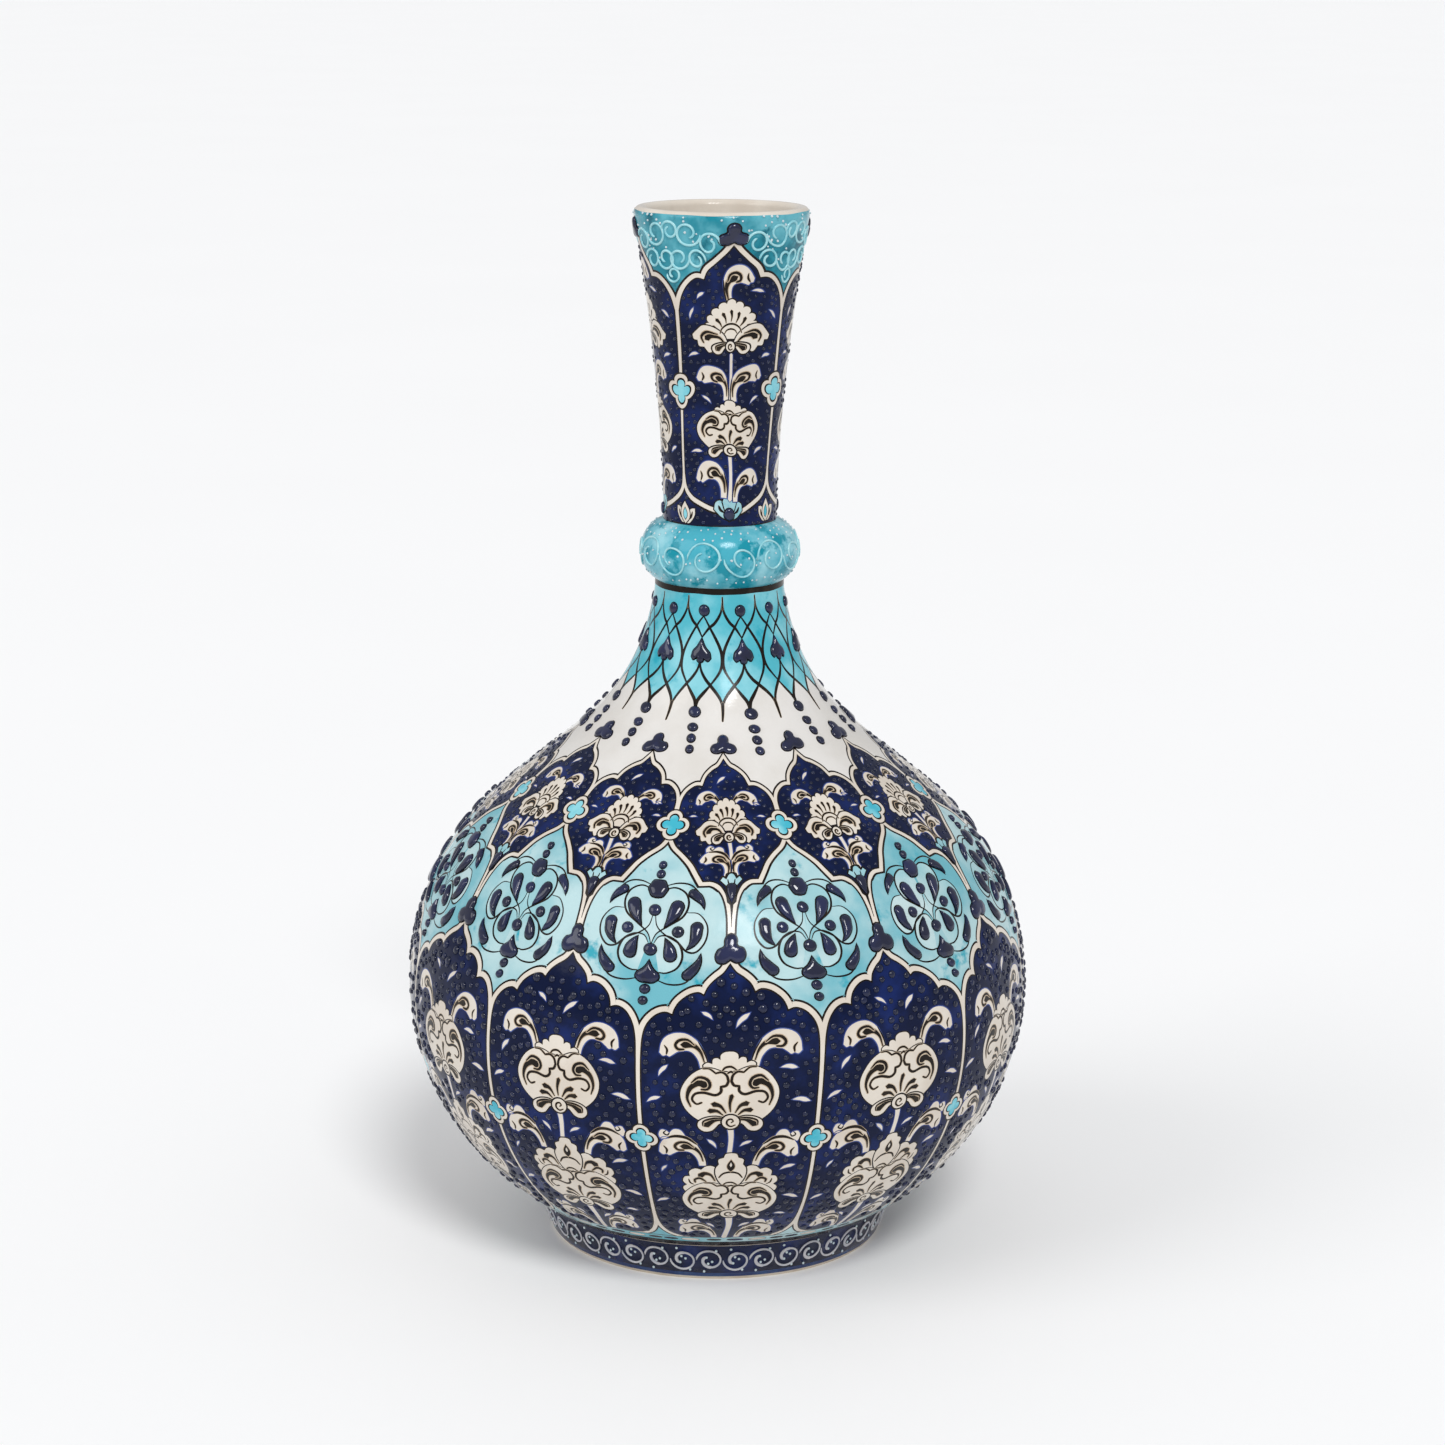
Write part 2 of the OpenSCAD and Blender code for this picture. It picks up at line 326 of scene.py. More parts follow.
def join(*lines):
    """Lines end to end as one outline, with a corner at each joint."""
    kept = [np.atleast_2d(np.array(lines[0], float))]
    for line in lines[1:]:
        line = np.atleast_2d(np.array(line, float))
        kept.append(line[1:] if np.allclose(line[0], kept[-1][-1], atol=1e-3) else line)
    whole = np.concatenate(kept)
    return whole[:-1] if np.allclose(whole[0], whole[-1], atol=1e-3) else whole


def flip(points):
    """The same line on the other side of the middle, drawn backwards."""
    return np.array(points, float)[::-1] * (-1, 1)


def even(right_half):
    """A closed outline from its right half, listed from bottom to top."""
    return join(right_half, flip(right_half))


def area(p):
    """Signed area of a closed outline, above 0 when it runs anticlockwise."""
    x, y = p[:, 0], p[:, 1]
    return 0.5 * float(np.dot(x, np.roll(y, -1)) - np.dot(y, np.roll(x, -1)))


def spread(points, by):
    """A closed outline moved outwards."""
    p = points if area(points) > 0 else points[::-1]
    ahead = np.roll(p, -1, axis=0) - p
    ahead /= np.maximum(np.linalg.norm(ahead, axis=1), 1e-6)[:, None]
    out = np.stack([ahead[:, 1], -ahead[:, 0]], axis=1)
    both = out + np.roll(out, 1, axis=0)
    both /= np.maximum(np.linalg.norm(both, axis=1), 1e-6)[:, None]
    mitre = np.maximum((both * out).sum(axis=1), 0.55)[:, None]
    return p + by * both / mitre


def brush(line, widths):
    """A brush stroke: widths at its start, middle and end."""
    p = np.array(line, float)
    walk = np.concatenate([[0], np.cumsum(np.linalg.norm(np.diff(p, axis=0), axis=1))])
    t = walk / walk[-1]
    a, m, b = widths
    half = 0.5 * np.maximum((1 - t) * (1 - 2 * t) * a + 4 * t * (1 - t) * m + t * (2 * t - 1) * b, 0.12)
    along = np.gradient(p, walk, axis=0)
    along /= np.linalg.norm(along, axis=1)[:, None]
    side = np.stack([along[:, 1], -along[:, 0]], axis=1) * half[:, None]
    first, last = p[:1] - along[:1] * half[0], p[-1:] + along[-1:] * half[-1]
    return np.concatenate([first, p + side, last, (p - side)[::-1]])


def round_spot(x, y, r, squash=1.0, points=18):
    a = np.arange(points) * TAU / points
    return np.stack([x + r * np.cos(a), y + squash * r * np.sin(a)], axis=1)


def lobed(x, y, r, lobes, depth, start=0.0, points=48):
    """A ring of round lobes about a point; start turns the first lobe, in degrees."""
    a = np.arange(points) * TAU / points
    radius = r * (1 - depth + depth * np.abs(np.cos(0.5 * lobes * (a - math.radians(start)))) ** 0.8)
    return np.stack([x + radius * np.cos(a), y + radius * np.sin(a)], axis=1)


class Band:
    """A belt of the clay laid out flat: x runs round it and y along its outline, in millimetres."""

    def __init__(self, line, repeats, lay_r):
        self.line, self.repeats, self.lay_r = line, repeats, lay_r
        self.width = TAU * lay_r / repeats
        self.shapes = []

    def pen(self, ref, turn=0.0, **place):
        return Pen(self, ref, turn, **place)

    def belt(self, glaze_name, low, high):
        """Fills the band between two distances, right round the clay."""
        x = np.linspace(-1.6, 1.6, 40) * self.width
        self.shapes.append((glaze_name, np.concatenate([np.stack([x, np.full(40, low)], axis=1),
                                                        np.stack([x[::-1], np.full(40, high)], axis=1)])))


BOLD = 1.35  # how heavily the brush lines are painted


class Pen:
    """Draws on a band: u runs round the clay in mm where its radius is ref, and s along it."""

    def __init__(self, band, ref, turn=0.0, x=0.0, y=0.0, size=(1.0, 1.0), lean=0.0, side=1):
        self.band, self.ref, self.turn = band, ref, turn
        self.x, self.y, self.size, self.lean, self.side = x, y, size, math.radians(lean), side

    def moved(self, x, y, size=1.0, lean=0.0, side=1):
        """A pen for a motif of its own, placed, sized, leaned and mirrored."""
        spot = self.spot(np.array([[x, y]], float))[0]
        sizes = (size, size) if np.isscalar(size) else size
        sizes = (sizes[0] * self.size[0], sizes[1] * self.size[1])
        return Pen(self.band, self.ref, self.turn, spot[0], spot[1], sizes,
                   math.degrees(self.lean) + lean * self.side, self.side * side)

    def spot(self, points):
        """Points of a motif, sized, leaned and placed."""
        p = np.array(points, float) * (self.size[0] * self.side, self.size[1])
        c, s = math.cos(self.lean), math.sin(self.lean)
        return np.stack([self.x + c * p[:, 0] + s * p[:, 1], self.y - s * p[:, 0] + c * p[:, 1]], axis=1)

    def flat(self, placed):
        """Layout coordinates of placed points."""
        return np.stack([(math.radians(self.turn) + placed[:, 0] / self.ref) * self.band.lay_r,
                         placed[:, 1]], axis=1)

    def fill(self, glaze_name, points, edge=0.0, edge_glaze="line"):
        placed = self.spot(points)
        if edge:
            self.band.shapes.append((edge_glaze, self.flat(spread(placed, edge))))
        self.band.shapes.append((glaze_name, self.flat(placed)))

    def stroke(self, line, widths=(0.25, 0.7, 0.25), glaze_name="line", halo=0.3, halo_glaze="stain"):
        placed = self.spot(line)
        widths = [BOLD * (0.4 + 0.6 * self.size[1]) * w for w in widths]
        if halo:
            self.band.shapes.append((halo_glaze, self.flat(brush(placed, [w + 2 * halo for w in widths]))))
        self.band.shapes.append((glaze_name, self.flat(brush(placed, widths))))

    def stalk(self, line, widths):
        """A pale stem."""
        placed = self.spot(line)
        self.band.shapes.append(("cobalt_edge", self.flat(brush(placed, [w + 0.7 for w in widths]))))
        self.band.shapes.append(("white", self.flat(brush(placed, widths))))


# ---------------------------------------------------------------- motifs

def leaf(pen, crest=True):
    """A curled leaf; its root is at the pen's spot and it bends to the right."""
    if crest:
        bumps = join(curve((14.3, 11.6), (15.0, 13.6), (14.0, 15.8), (12.2, 15.6), (11.2, 14.6)),
                     curve((11.2, 14.6), (9.6, 16.4), (7.4, 16.3), (6.0, 14.4), (5.4, 12.4)))
        pen.fill("white", bumps, 0.4, "cobalt_edge")
        pen.stroke(curve((12.3, 15.6), (13.2, 14.4), (12.0, 13.6), (11.2, 14.6)), (0.2, 0.5, 0.3), halo=0)
    body = join(curve((-1.4, 0), (-1.2, 2.5), (-0.2, 6), (1.8, 10), (5.3, 12.8), (9.3, 13.3), (12.8, 12),
                      (14.7, 9.4), (15.4, 5.8)),
                curve((15.4, 5.8), (14.2, 4.6), (12.9, 5.0)),
                curve((12.9, 5.0), (11.8, 4.4), (10.6, 5.2)),
                curve((10.6, 5.2), (8.4, 6.5), (5.6, 6.7), (3.6, 5.8), (1.9, 3.2), (1.2, 0)))
    pen.fill("white", body, 0.4, "cobalt_edge")
    if crest:
        pen.stroke(curve((12.9, 12.0), (9.3, 13.4), (5.3, 12.9), (1.8, 10.1)), (0.3, 0.9, 0.3), halo=0.15)
    pen.stroke(curve((-0.2, 2.2), (0.9, 6.1), (3.2, 8.5), (6.6, 8.9)), (0.3, 0.9, 1.9))
    pen.stroke(curve((2.9, 8.7), (5.2, 10.7), (8.1, 10.6), (9.6, 8.9), (8.7, 7.3), (6.6, 7.2)),
               (0.25, 0.8, 0.5))
    pen.stroke(curve((13.6, 8.6), (12.6, 7.0), (12.9, 5.2)), (0.2, 0.6, 0.3), halo=0.15)
    pen.stroke(curve((-1.4, 0.3), (-1.3, 2.5), (-0.3, 6), (1.6, 9.9)), (0.2, 0.45, 0.2), halo=0)


def comma(pen, x, y, turn=0, size=1.0, side=1):
    """A small curved dash of pale ground with a thin blue edge."""
    p = pen.moved(x, y, size, turn, side)
    p.fill("white", join(curve((-3, -1.1), (-1.4, 0.5), (0.8, 1.1), (2.9, 0.6)),
                         curve((2.9, 0.6), (1.2, -0.3), (-0.6, -0.5), (-3, -1.1))), 0.35, "cobalt_edge")


def sepals(pen, size=1.0):
    """The calyx: two side petals and a small spiral between them."""
    p = pen.moved(0, 0, size)
    for side in (-1, 1):
        q = p.moved(0, 0, 1, 0, side)
        petal = join(curve((1.6, 1.4), (5, 2.3), (8.5, 1.8), (11, 0.2), (11.2, -2.2), (9.2, -3.9),
                           (6.4, -3.4), (4, -0.7), (1.9, -0.6)))
        q.fill("white", petal, 0.55)
        q.stroke(curve((3.0, 0.9), (5.6, 0.7), (8.4, -1.2)), (0.4, 1.0, 1.7))
        q.stroke(curve((2.4, 1.6), (6, 1.6), (9.3, 0.4), (9.6, -1.6)), (0.3, 0.6, 0.3), halo=0.1)
    p.fill("white", round_spot(0, 0, 3.0, 0.95), 0.65)
    p.stroke(curve((0.2, -0.3), (0.9, 0.3), (0.2, 1.2), (-1.1, 0.7), (-1.3, -0.8), (0, -1.9), (1.6, -1.3)),
             (0.3, 0.55, 0.3), halo=0.12)


def pomegranate(pen, crown=True):
    """The round fruit-flower; the pen's spot is its calyx."""
    if crown:
        top = even(join(curve((0, 14), (5.6, 17), (8.0, 20.4)),
                        curve((8.0, 20.4), (8.6, 22.4), (7.2, 23.4), (5.6, 22.8)),
                        curve((5.6, 22.8), (5.4, 24.6), (4.0, 25.0), (2.9, 24.2)),
                        curve((2.9, 24.2), (2.8, 26.0), (1.6, 27.0), (0, 27.2))))
        pen.fill("white", top, 0.45)
    body = even(join(curve((0, -0.6), (4, -0.8), (8.5, -0.2), (12, 1.7), (15.2, 5.4), (16.6, 10), (16, 14),
                           (13, 18.6), (8.8, 21.3), (5.6, 21.2), (2.6, 20.0), (0, 19.6))))
    pen.fill("white", body, 0.4)
    pen.stroke(curve((-2.6, 20.0), (-1.4, 21.4), (0.6, 21.6), (2.4, 20.2)), (0.3, 0.6, 0.3), halo=0.15)
    pen.stroke(curve((-1.0, 19.0), (0.4, 19.8), (1.5, 18.8)), (0.3, 0.6, 0.3), halo=0.15)
    for side in (-1, 1):
        p = pen.moved(0, 0, 1, 0, side)
        p.stroke(curve((13.4, 6.4), (14.4, 10), (13.2, 13.8), (10.4, 15.7), (8.2, 15.0)), (0.3, 1.1, 2.0))
        p.stroke(curve((12.8, 15.8), (10.4, 17.9), (7.6, 17.2), (6.6, 15.0), (7.6, 13.3), (9.6, 13.3)),
                 (0.3, 0.85, 0.4))
        p.stroke(join(curve((8.8, 21.2), (6.6, 21.1), (4.6, 19.4)),
                      curve((4.6, 19.4), (2.6, 19.7), (1.0, 18.4), (0.5, 16.2)),
                      curve((0.5, 16.2), (1.3, 14.6), (3.0, 14.2)),
                      curve((3.0, 14.2), (3.1, 12.2), (5.0, 11.0), (8.6, 12.0), (11.6, 11.6), (12.8, 9.4),
                            (11.4, 7.5), (9.6, 8.1))), (0.35, 0.75, 0.5), halo=0.15)
        p.stroke(curve((1.6, 3.8), (3.4, 6.6), (5.6, 7.4)), (0.3, 0.8, 1.5))
        p.stroke(curve((2.6, 2.9), (4.6, 4.6), (7.0, 4.7)), (0.3, 0.8, 1.4))
    pen.stroke(curve((0, 4.2), (-0.2, 7.5), (0.5, 10.6)), (0.3, 0.7, 1.1))
    sepals(pen)


def fan(pen):
    """Five petals that stand behind the low flower; the pen's spot is the flower's calyx."""
    outer = join(curve((2, 19), (4.4, 26.0), (7.4, 29.2), (10.4, 29.2), (12.4, 27.4)),
                 curve((12.4, 27.4), (15.0, 28.0), (17.4, 26.4), (17.2, 23.8)),
                 curve((17.2, 23.8), (19.4, 23.4), (20.2, 21.0), (18.6, 19.0)),
                 curve((18.6, 19.0), (20.2, 17.6), (19.6, 15.4), (16, 13)), np.array([[4, 14]]))
    for side in (-1, 1):
        p = pen.moved(0, 0, 1, 0, side)
        p.fill("white", outer, 0.5)
        p.stroke(curve((6.6, 21.4), (8.4, 24.6), (11.0, 25.4), (12.8, 24.2)), (0.3, 0.9, 1.9))
        p.stroke(curve((10.4, 21.0), (13.0, 22.8), (15.2, 22.0), (15.0, 20.4)), (0.3, 0.8, 0.4))
        p.stroke(curve((15.6, 19.2), (17.2, 20.2), (17.8, 22.2)), (0.2, 0.5, 0.2), halo=0.1)
    middle = even(join(curve((0, 16), (4.2, 20), (6.2, 24.2), (6.4, 28.0), (5.0, 30.2)),
                       curve((5.0, 30.2), (5.2, 32.6), (3.0, 33.6)),
                       curve((3.0, 33.6), (2.2, 35.4), (0, 35.8))))
    pen.fill("white", middle, 0.55)
    pen.stroke(curve((-5.0, 23.2), (-3.2, 25.4), (0, 26.2), (3.2, 25.4), (5.0, 23.2)), (0.4, 0.7, 0.4),
               halo=0.1)
    pen.fill("line", even(curve((0, 26.4), (1.5, 28.2), (1.5, 30.2), (0, 32.6))), 0.25, "stain")
    pen.fill("white", even(curve((0, 28.8), (0.45, 29.6), (0.45, 30.2), (0, 31.2))))


def palmette(pen):
    """The fan-shaped flower; the pen's spot is its calyx."""
    scallops = [(8.6, 5.5), (8.3, 8.8), (6.8, 11.8), (4.6, 14.4), (1.7, 15.9)]
    rim = [curve((6, 3), (8.6, 5.5))]
    ends = [*scallops, (-1.8, 16.2)]
    for a, b in zip(ends, ends[1:]):
        a, b = np.array(a), np.array(b)
        out = np.array([b[1] - a[1], a[0] - b[0]])
        rim.append(curve(a, a + 0.12 * (b - a) + 0.3 * out, (a + b) / 2 + 0.46 * out,
                         b + 0.12 * (a - b) + 0.3 * out, b))
    half = join(*rim[:-1])
    pen.fill("white", join(half, rim[-1], flip(half)), 0.5)
    for x0, y0, x1, y1 in [(0, 9.4, 0, 13.2), (2.1, 8.9, 3.2, 12.4), (3.9, 7.7, 5.6, 10.4),
                           (4.9, 6.0, 7.0, 7.6)]:
        for side in (-1, 1) if x0 else (1,):
            pen.stroke(curve((side * x0, y0), (side * (x0 + x1) / 2 + 0.3, (y0 + y1) / 2), (side * x1, y1)),
                       (0.2, 0.5, 0.95), halo=0.15)
    for side in (-1, 1):
        p = pen.moved(0, 0, 1, 0, side)
        wing = join(curve((1.2, 0.6), (3.2, 4.6), (7.0, 7.4), (10.8, 7.2), (13.4, 5.0), (15.4, 3.4)),
                    curve((15.4, 3.4), (14.8, 1.6), (13.2, 1.2)),
                    curve((13.2, 1.2), (12.6, -1.0), (10.6, -0.9)),
                    curve((10.6, -0.9), (9.0, -2.6), (7.0, -1.6), (1.6, -0.4)))
        p.fill("white", wing, 0.5)
        p.stroke(curve((2.6, 1.2), (5.0, 3.6), (8.0, 3.9), (9.6, 2.6)), (0.3, 0.8, 1.5))
        p.stroke(curve((5.6, 4.9), (9.2, 5.2), (11.6, 2.8), (10.8, 0.6)), (0.25, 0.7, 0.4))
        p.stroke(curve((4.4, 1.1), (6.8, 0.6), (8.2, -1.0)), (0.2, 0.5, 0.2), halo=0.1)
    pen.stroke(curve((-4.6, 5.2), (-3.8, 7.0), (-2.0, 8.2), (0, 8.5), (2.0, 8.2), (3.8, 7.0), (4.6, 5.2)),
               (0.25, 0.55, 0.25), halo=0.1)
    pen.stroke(curve((-2.8, 5.0), (-1.8, 6.2), (0, 6.6), (1.8, 6.2), (2.8, 5.0)), (0.2, 0.45, 0.2), halo=0.1)
    sepals(pen, 0.68)


def quatrefoil(pen, x, y, r):
    """The four-lobed flower on the divider between two panels."""
    p = pen.moved(x, y, r / 6)
    p.fill("white", lobed(0, 0, 6.5, 4, 0.30), 0.6)
    p.fill("line", lobed(0, 0, 5.1, 4, 0.46))
    p.fill("bright_turquoise", lobed(0, 0, 4.3, 4, 0.50))


def trefoil_edge(size):
    return even(curve((0, -0.62), (0.42, -0.84), (0.88, -0.74), (1.06, -0.36), (0.90, 0.03), (0.56, 0.16),
                      (0.42, 0.34), (0.43, 0.64), (0.27, 0.92), (0, 1.02))) * size


def heart_edge(size):
    return even(join(curve((0, -0.9), (0.55, -0.86), (0.98, -0.5), (0.92, -0.05), (0.5, 0.3), (0.2, 0.7),
                           (0, 1.12)))
                ) * size


def spade_edge(size):
    """A spade with a sharp point and three short lobes under it."""
    return even(join(curve((0, -0.95), (0.26, -0.8), (0.36, -0.5)),
                     curve((0.36, -0.5), (0.72, -0.74), (0.98, -0.46)),
                     curve((0.98, -0.46), (0.86, 0.02), (0.44, 0.42), (0, 1.15)))) * size


def hexagon_edge(size):
    """A six-sided boss with soft corners."""
    return even(join(curve((0, -0.95), (0.46, -0.88)), curve((0.46, -0.88), (0.66, -0.72), (1.0, -0.12)),
                     curve((1.0, -0.12), (1.0, 0.10), (0.68, 0.76)),
                     curve((0.68, 0.76), (0.50, 0.90), (0, 0.92)))) * size


def drop_edge(long, half_w, bow=0.0):
    """A drop whose round end is at the origin and whose tip points up; its back bows out to one side."""
    round_end = [(half_w * math.cos(a), half_w * math.sin(a)) for a in np.linspace(-math.pi, 0, 9)]
    right = curve((half_w, 0), (0.88 * half_w + 0.7 * bow, 0.34 * long),
                  (0.42 * half_w + 0.8 * bow, 0.72 * long), (0, long))
    left = curve((0, long), (-0.42 * half_w + 0.8 * bow, 0.72 * long),
                 (-0.88 * half_w + 0.7 * bow, 0.34 * long), (-half_w, 0))
    return join(round_end, right, left)


def shift(points, x, y, turn=0.0):
    """Points turned anticlockwise by degrees, then moved."""
    c, s = math.cos(math.radians(turn)), math.sin(math.radians(turn))
    return np.array(points) @ np.array([[c, s], [-s, c]]) + (x, y)


# ---------------------------------------------------------------- raised cobalt slip of a sector

ARCH_TREFOIL = [(0, 146.2, trefoil_edge(5.6))]
MEDALLION_BEADS = [(0, 178.7, 1.5), (0, 175, 1.6), (0, 161, 2.0), (0, 146.4, 2.1), (0, 132, 1.6),
                   (0, 127.8, 1.4), (8.8, 153.4, 1.9), (-8.8, 153.4, 1.9)]
MEDALLION_HEARTS = [(0, 169.2, hexagon_edge(3.6)), (0, 137.9, heart_edge(3.9))]
# Round end, point, half width and bow of each drop in a medallion's right half
DROPS = [(7.9, 162.6, 4.1, 155.0, 2.25, -0.5), (6.9, 144.6, 4.8, 150.6, 2.0, 0.4),
         (15.2, 154.8, 12.2, 147.0, 2.0, -1.3), (13.2, 167.7, 17.4, 162.0, 1.55, -0.9),
         (13.4, 138.0, 17.2, 145.2, 1.75, 1.0)]
PENDANTS = [(246, 2.2, 1), (239.6, 1.7, 1), (234.8, 1.3, 1.35), (230, 1.1, 1.5)]


def drop_on(x0, y0, x1, y1, half_w, bow):
    """A drop from the middle of its round end to its tip."""
    long = math.hypot(x1 - x0, y1 - y0)
    return shift(drop_edge(long, half_w, bow), x0, y0, math.degrees(math.atan2(y1 - y0, x1 - x0)) - 90)


def medallion_drops():
    right = [drop_on(*d) for d in DROPS]
    return right + [flip(d) for d in right]


# ---------------------------------------------------------------- the belly's decoration

def lower_arch():
    """Right half of the tall cobalt arch, from its point down the divider to the foot."""
    return join(curve((0, 140.6), (2.2, 137.9), (5.2, 135.8), (7.6, 133.4), (9.0, 130.2)),
                curve((9.0, 130.2), (11.4, 131.4), (14.6, 130.6), (17.6, 128.2), (19.0, 125.6),
                      (19.5, 123.2)),
                curve((19.5, 123.2), (22.6, 124.1), (25.9, 122.6), (28.6, 118.8), (29.8, 113.6), (30.1, 106)),
                curve((30.1, 106), (30.2, 74), (30.2, 40)),
                curve((30.2, 40), (29.8, 28), (28.4, 21.5), (25.6, 16.8), (21, 13.8)),
                curve((21, 13.8), (12, 12.6), (0, 12.2)))


def upper_arch():
    """Right half of the short cobalt panel, from its point down."""
    return join(curve((0, 225.2), (2.6, 222.2), (6.0, 220.4), (9.0, 217.6), (10.6, 213.2)),
                curve((10.6, 213.2), (14.2, 213.3), (17.6, 210.8), (19.2, 207), (19.4, 202)),
                curve((19.4, 202), (19.6, 196), (19.3, 190)),
                curve((19.3, 190), (17.6, 187), (14.2, 183.4), (11.4, 179.6), (9.6, 175.8), (8.2, 172.7)),
                curve((8.2, 172.7), (5.6, 172.5), (3.0, 170.6), (1.3, 167.0), (0.8, 164.0)),
                np.array([[0, 163.0]]))


def closed(right_half_down):
    """A closed outline from its right half, listed from top to bottom."""
    return even(right_half_down[::-1])


def fields(belly):
    """The grounds: turquoise below, cream above, and the cobalt panels in their cream frames."""
    belly.belt("turquoise", -9, 400)
    belly.belt("shoulder_white", 198, 400)
    tall, short = closed(lower_arch()), closed(upper_arch())
    low, high = belly.pen(BELLY_R), belly.pen(SHORT_PANEL_R)
    medal = belly.pen(MEDALLION_R, HALF_SECTOR)
    loops(medal)
    stem = even(join(curve((0.9, 148), (0.95, 154), (1.15, 158.4), (1.75, 163.0), (3.1, 167.4),
                           (5.6, 170.6), (9.4, 171.6)), curve((9.4, 171.6), (8.4, 173.4), (8.0, 174.6))))
    cut_short = np.array([[x, max(y, 170.6)] for x, y in short])
    for glaze_name, wide, narrow in (("line", 3.3, 2.8), ("white", 2.5, 2.0), ("line", 0.6, 0.6)):
        low.fill(glaze_name, spread(tall, wide))
        high.fill(glaze_name, spread(short if glaze_name == "line" and wide < 1 else cut_short, narrow))
        if wide > 1:
            high.fill(glaze_name, spread(stem, 0.6) if wide > 3 else stem)
    low.fill("cobalt", tall)
    high.fill("cobalt", short)
    high.stroke(curve((0, 154.4), (0, 158), (0, 164.5)), (0.15, 0.4, 1.0), halo=0)


def bottom_strip(belly):
    """A strip of dashes where the belly meets the foot."""
    pen = belly.pen(BELLY_R)
    belly.belt("line", -3, 12.4)
    belly.belt("turquoise", -3, 11.8)
    for x, wide, glaze_name in [(-27.5, 7, "cobalt"), (-17.5, 9, "white"), (-5.5, 7, "line"),
                                (5, 8, "cobalt"), (16.5, 9, "white"), (27, 7, "line")]:
        pen.fill(glaze_name, round_spot(x, 9.2, wide / 2, 0.28), 0.3)
    belly.belt("line", -3, 6.4)


def lower_panel(belly):
    pen = belly.pen(BELLY_R)
    pen.stalk(curve((-0.3, 82), (0.2, 76), (-0.6, 66)), (2.3, 1.7, 2.0))
    pen.stalk(curve((0.6, 32), (0.8, 24), (-0.8, 12.5)), (3.0, 2.3, 2.5))
    leaf(pen.moved(8.4, 104.5, 1.0, 4, 1), crest=False)
    leaf(pen.moved(-8.4, 104.5, 0.98, -2, -1), crest=False)
    leaf(pen.moved(9.6, 63, 1.0, 4, 1))
    leaf(pen.moved(-10.2, 63, 1.0, 0, -1))
    leaf(pen.moved(5.0, 12.6, 1.02, 2, 1))
    leaf(pen.moved(-5.6, 12.6, 1.04, 0, -1))
    pomegranate(pen.moved(0, 83))
    fan(pen.moved(0.4, 34, (0.9, 0.98)))
    pomegranate(pen.moved(0.4, 34, (1.13, 0.93)), crown=False)
    for x, y, turn, size, side in [(-7.5, 123.6, 20, 0.8, -1), (4.6, 121.4, -30, 1.1, 1),
                                   (20, 103.4, 20, 1.0, 1), (-22.5, 103.2, -38, 0.9, 1),
                                   (25, 90.6, 25, 1.1, 1), (-26, 91.5, -12, 0.9, 1),
                                   (5.6, 73.6, -12, 0.8, 1), (-6.6, 73.8, 35, 0.8, -1),
                                   (22, 61.6, -5, 1.0, 1), (-24.5, 60.8, -40, 0.6, 1),
                                   (-26.4, 42.6, -10, 0.9, 1), (25, 45, 32, 1.1, 1),
                                   (-7.2, 25.0, 30, 0.8, -1), (7.4, 25.4, -20, 0.9, 1),
                                   (22, 33.4, 20, 0.8, 1), (-23.4, 75.2, 0, 0.4, 1)]:
        comma(pen, x, y, turn, size, side)
    quatrefoil(belly.pen(BELLY_R, HALF_SECTOR), 0, 74, 5.3)


def loops(pen):
    """The medallion's pale loops, and the fine lines that lace through them."""
    upper = [(0.6, 165.4), (2.6, 168.6), (6.4, 170.0), (10.4, 168.0), (11.8, 163.8), (10.2, 159.2),
             (5.6, 155.6), (1.6, 152.4), (0, 148.4)]
    side = [(0.4, 159.6), (1.4, 155.2), (4.4, 152.2), (9.0, 149.6), (12.2, 146.4), (15.6, 146.2),
            (18.6, 150.2), (18.8, 155.6), (15.6, 160.0), (11.4, 160.6)]
    lower = [(1.0, 148.8), (2.6, 151.4), (6.0, 151.6), (9.6, 149.0), (11.0, 144.4), (9.6, 140.4),
             (6.2, 138.4), (3.6, 138.4)]
    for mirror in (1, -1):
        p = pen.moved(0, 0, 1, 0, mirror)
        for path in (upper, side, lower):
            p.fill("pale_turquoise", join(curve(*path), np.array([[0, 153.0]])))
    for mirror in (1, -1):
        p = pen.moved(0, 0, 1, 0, mirror)
        for path, widths in ((upper, (0.2, 0.62, 0.2)), (side, (0.2, 0.55, 0.2)), (lower, (0.2, 0.62, 0.35))):
            p.stroke(curve(*path), widths, halo=0)
        p.stroke(curve((2.4, 170.4), (7.4, 171.8), (12.4, 170.9), (17.0, 166.2)), (0.2, 0.5, 0.2), halo=0)
        p.stroke(curve((2.6, 135.9), (7.6, 134.4), (12.8, 135.2), (16.6, 139.6)), (0.2, 0.5, 0.2), halo=0)
    for edge in medallion_drops():
        pen.fill("line", spread(edge, 0.45))
    for x, y, edge in MEDALLION_HEARTS:
        pen.fill("line", shift(spread(edge, 0.45), x, y))
    for x, y, r in MEDALLION_BEADS:
        pen.fill("line", round_spot(x, y, r + 0.3))


